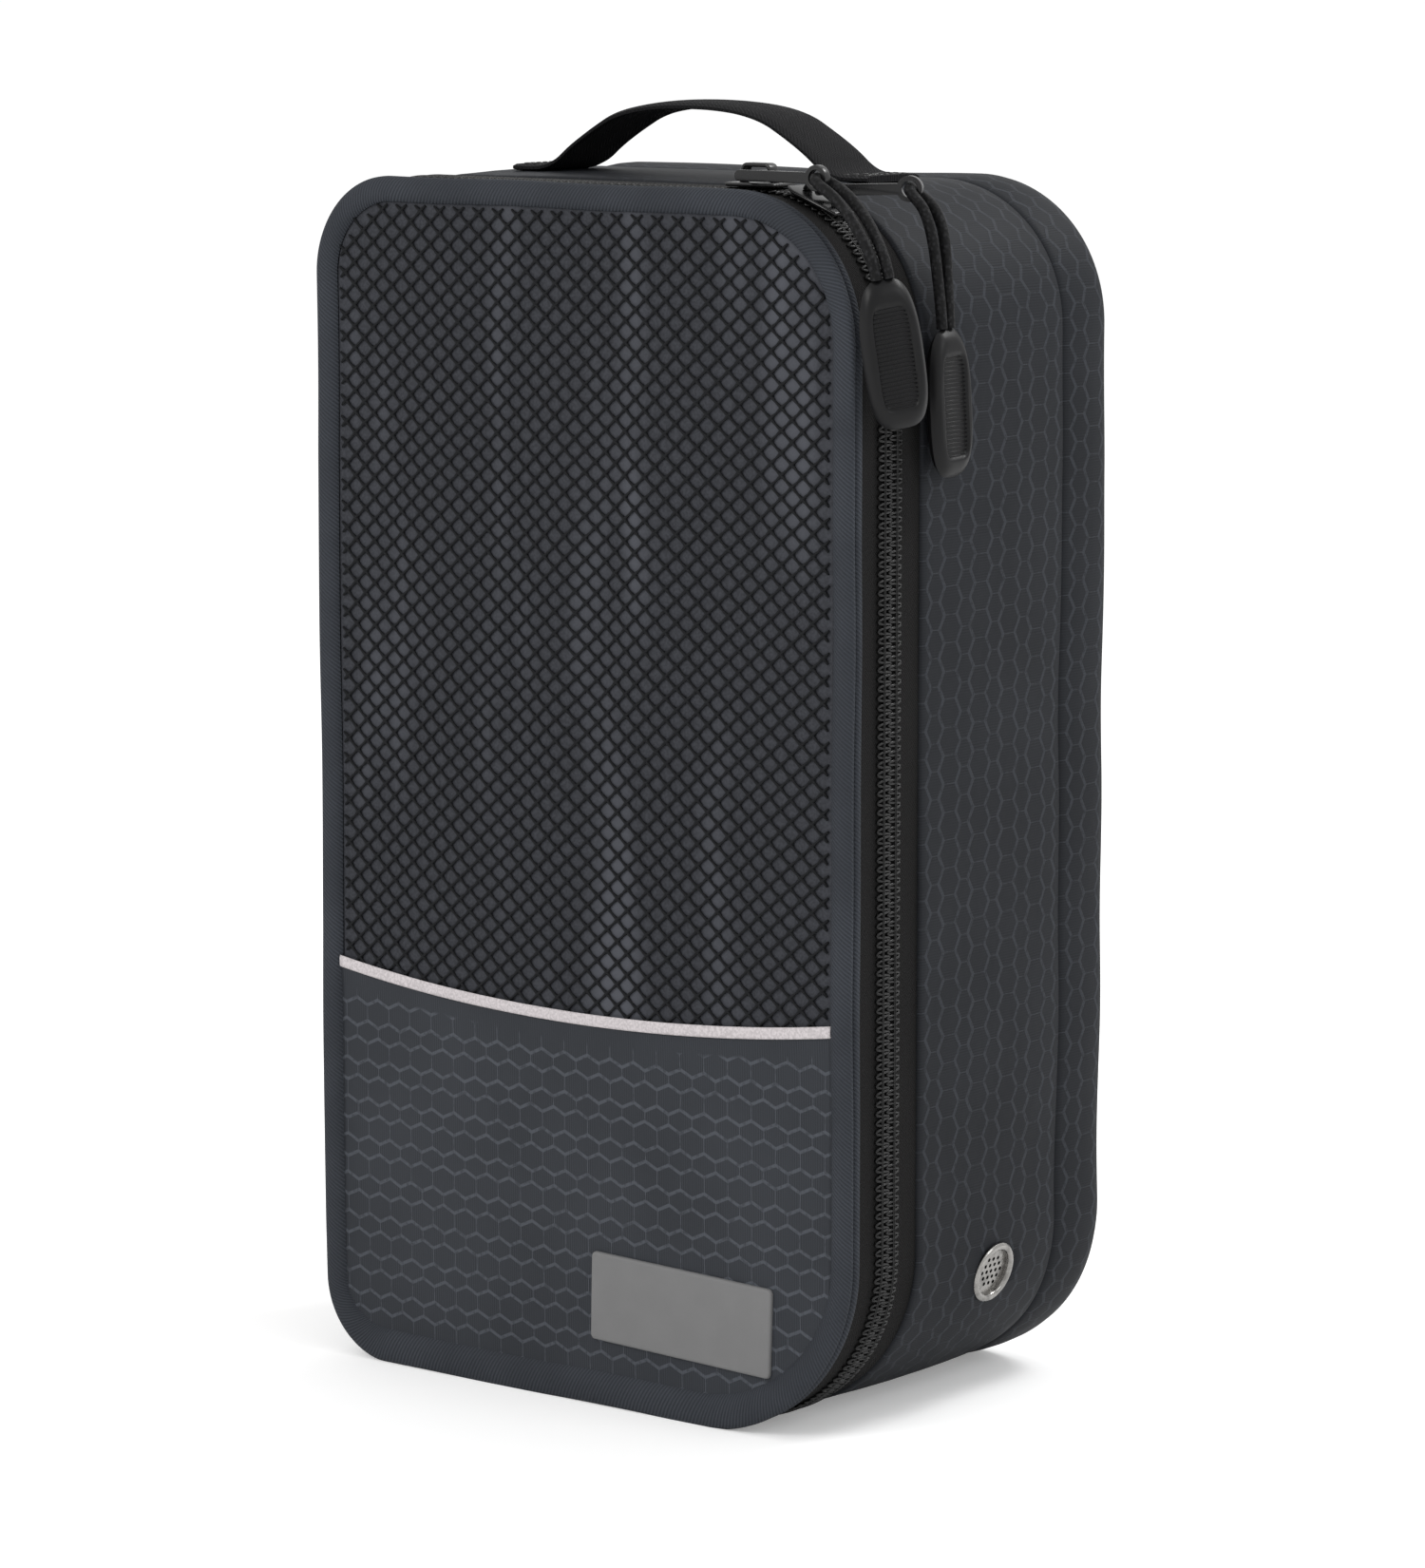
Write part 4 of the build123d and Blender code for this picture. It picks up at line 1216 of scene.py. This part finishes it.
def build_stage():
    """Floor, soft light and camera."""
    scene, settings = bpy.context.scene, bpy.context.scene.shoe_bag_stage
    floor = make_mesh(
        "floor", [(-60, -60, 0), (60, -60, 0), (60, 60, 0), (-60, 60, 0)], [(0, 1, 2, 3)]
    )
    pale = bpy.data.materials.new("pale_floor")
    pale.use_nodes = True
    nodes, links = pale.node_tree.nodes, pale.node_tree.links
    nodes.clear()
    diffuse = nodes.new("ShaderNodeBsdfDiffuse")
    diffuse.inputs["Color"].default_value = (0.92, 0.92, 0.92, 1)
    glow = nodes.new("ShaderNodeEmission")
    path = nodes.new("ShaderNodeLightPath")
    seen = nodes.new("ShaderNodeMath")
    seen.operation = "MULTIPLY"
    seen.inputs[1].default_value = 0.24
    links.new(path.outputs["Is Camera Ray"], seen.inputs[0])
    links.new(seen.outputs[0], glow.inputs["Strength"])
    both = nodes.new("ShaderNodeAddShader")
    links.new(diffuse.outputs[0], both.inputs[0])
    links.new(glow.outputs[0], both.inputs[1])
    links.new(both.outputs[0], nodes.new("ShaderNodeOutputMaterial").inputs["Surface"])
    floor.data.materials.append(pale)

    world = bpy.data.worlds.new("studio")
    world.use_nodes = True
    world.node_tree.nodes["Background"].inputs["Color"].default_value = (1.0, 1.0, 1.0, 1)
    world.node_tree.nodes["Background"].inputs["Strength"].default_value = 0.86
    scene.world = world
    for name, place, size, power, colour in (
        ("key_light", (-0.5, -2.0, 1.5), 1.0, 17.0, (1.0, 0.99, 0.98)),
        ("side_light", (1.9, 0.1, 1.3), 0.8, 6.0, (0.97, 0.99, 1.0)),
        ("top_light", (0.7, 1.1, 1.7), 0.6, 16.0, (1.0, 1.0, 1.0)),
    ):
        lamp = bpy.data.lights.new(name, "AREA")
        lamp.size, lamp.energy, lamp.color = size, power, colour
        holder = bpy.data.objects.new(name, lamp)
        holder.location = place
        aim = Vector((0, 0, BAG_HEIGHT / 2)) - Vector(place)
        holder.rotation_euler = aim.to_track_quat("-Z", "Y").to_euler()
        scene.collection.objects.link(holder)

    data = bpy.data.cameras.new("camera")
    data.lens = settings.lens
    data.sensor_width = 36
    data.clip_start, data.clip_end = 0.05, 200
    camera = bpy.data.objects.new("camera", data)
    turn, dip = settings.camera_turn, settings.camera_dip
    reach = settings.camera_reach
    camera.location = (math.sin(turn) * reach, -math.cos(turn) * reach, settings.camera_height)
    camera.rotation_euler = (math.pi / 2 - dip, 0, turn)
    scene.collection.objects.link(camera)
    scene.camera = camera
    scene.view_settings.view_transform = "Standard"


# ---------------------------------------------------------------- add-on


class SHOEBAG_OT_stage(bpy.types.Operator):
    """Builds the floor, lights and camera"""

    bl_idname = "shoebag.stage"
    bl_label = "Stage"

    def execute(self, context):
        build_stage()
        return {"FINISHED"}


class SHOEBAG_OT_body_shell(bpy.types.Operator):
    """Builds the gusset, rear band, back and bindings"""

    bl_idname = "shoebag.body_shell"
    bl_label = "Body Shell"

    def execute(self, context):
        build_body_shell()
        return {"FINISHED"}


class SHOEBAG_OT_zipper(bpy.types.Operator):
    """Builds the tapes, coil rows, stops and fabric hinge"""

    bl_idname = "shoebag.zipper"
    bl_label = "Zipper"

    def execute(self, context):
        build_zipper()
        return {"FINISHED"}


class SHOEBAG_OT_lid_edge(bpy.types.Operator):
    """Builds the rolled edge, side band and lid binding"""

    bl_idname = "shoebag.lid_edge"
    bl_label = "Lid Edge"

    def execute(self, context):
        build_lid_edge()
        return {"FINISHED"}


class SHOEBAG_OT_lid_front(bpy.types.Operator):
    """Builds the net, lining, lower panel, trim and patch"""

    bl_idname = "shoebag.lid_front"
    bl_label = "Lid Front"

    def execute(self, context):
        build_lid_front()
        return {"FINISHED"}


class SHOEBAG_OT_handle(bpy.types.Operator):
    """Builds the webbing loop, its stitches and backing"""

    bl_idname = "shoebag.handle"
    bl_label = "Handle"

    def execute(self, context):
        build_handle()
        return {"FINISHED"}


class SHOEBAG_OT_vents(bpy.types.Operator):
    """Builds the eyelets, pierced discs and washers"""

    bl_idname = "shoebag.vents"
    bl_label = "Vents"

    def execute(self, context):
        build_vents()
        return {"FINISHED"}


class SHOEBAG_OT_sliders(bpy.types.Operator):
    """Builds the slider bodies and bails"""

    bl_idname = "shoebag.sliders"
    bl_label = "Sliders"

    def execute(self, context):
        build_sliders()
        return {"FINISHED"}


class SHOEBAG_OT_pulls(bpy.types.Operator):
    """Builds the pullers, cords and grips"""

    bl_idname = "shoebag.pulls"
    bl_label = "Pulls"

    def execute(self, context):
        build_pulls()
        return {"FINISHED"}


OPERATORS = (
    SHOEBAG_OT_stage,
    SHOEBAG_OT_body_shell,
    SHOEBAG_OT_zipper,
    SHOEBAG_OT_lid_edge,
    SHOEBAG_OT_lid_front,
    SHOEBAG_OT_handle,
    SHOEBAG_OT_vents,
    SHOEBAG_OT_sliders,
    SHOEBAG_OT_pulls,
)


class SHOEBAG_PT_panel(bpy.types.Panel):
    """Lists the bag's pieces and settings in the sidebar."""

    bl_label = "Shoe Bag"
    bl_idname = "SHOEBAG_PT_panel"
    bl_space_type = "VIEW_3D"
    bl_region_type = "UI"
    bl_category = "Shoe Bag"

    def draw(self, context):
        for made in OPERATORS:
            self.layout.operator(made.bl_idname)
        scene = context.scene
        for group in (scene.shoe_bag_sizes, scene.shoe_bag_colours, scene.shoe_bag_stage):
            for name in group.bl_rna.properties.keys():
                if name not in ("rna_type", "name"):
                    self.layout.prop(group, name)


CLASSES = (ShoeBagSizes, ShoeBagColours, ShoeBagStage, *OPERATORS, SHOEBAG_PT_panel)


def register():
    """Registers the classes and hangs the settings on the scene."""
    for made in CLASSES:
        bpy.utils.register_class(made)
    bpy.types.Scene.shoe_bag_sizes = bpy.props.PointerProperty(type=ShoeBagSizes)
    bpy.types.Scene.shoe_bag_colours = bpy.props.PointerProperty(type=ShoeBagColours)
    bpy.types.Scene.shoe_bag_stage = bpy.props.PointerProperty(type=ShoeBagStage)


def unregister():
    """Takes the settings and classes away again."""
    del bpy.types.Scene.shoe_bag_stage
    del bpy.types.Scene.shoe_bag_colours
    del bpy.types.Scene.shoe_bag_sizes
    for made in reversed(CLASSES):
        bpy.utils.unregister_class(made)


def main():
    """Registers and builds every piece in order."""
    register()
    bpy.ops.shoebag.stage()
    bpy.ops.shoebag.body_shell()
    bpy.ops.shoebag.zipper()
    bpy.ops.shoebag.lid_edge()
    bpy.ops.shoebag.lid_front()
    bpy.ops.shoebag.handle()
    bpy.ops.shoebag.vents()
    bpy.ops.shoebag.sliders()
    bpy.ops.shoebag.pulls()


if __name__ == "__main__":
    main()
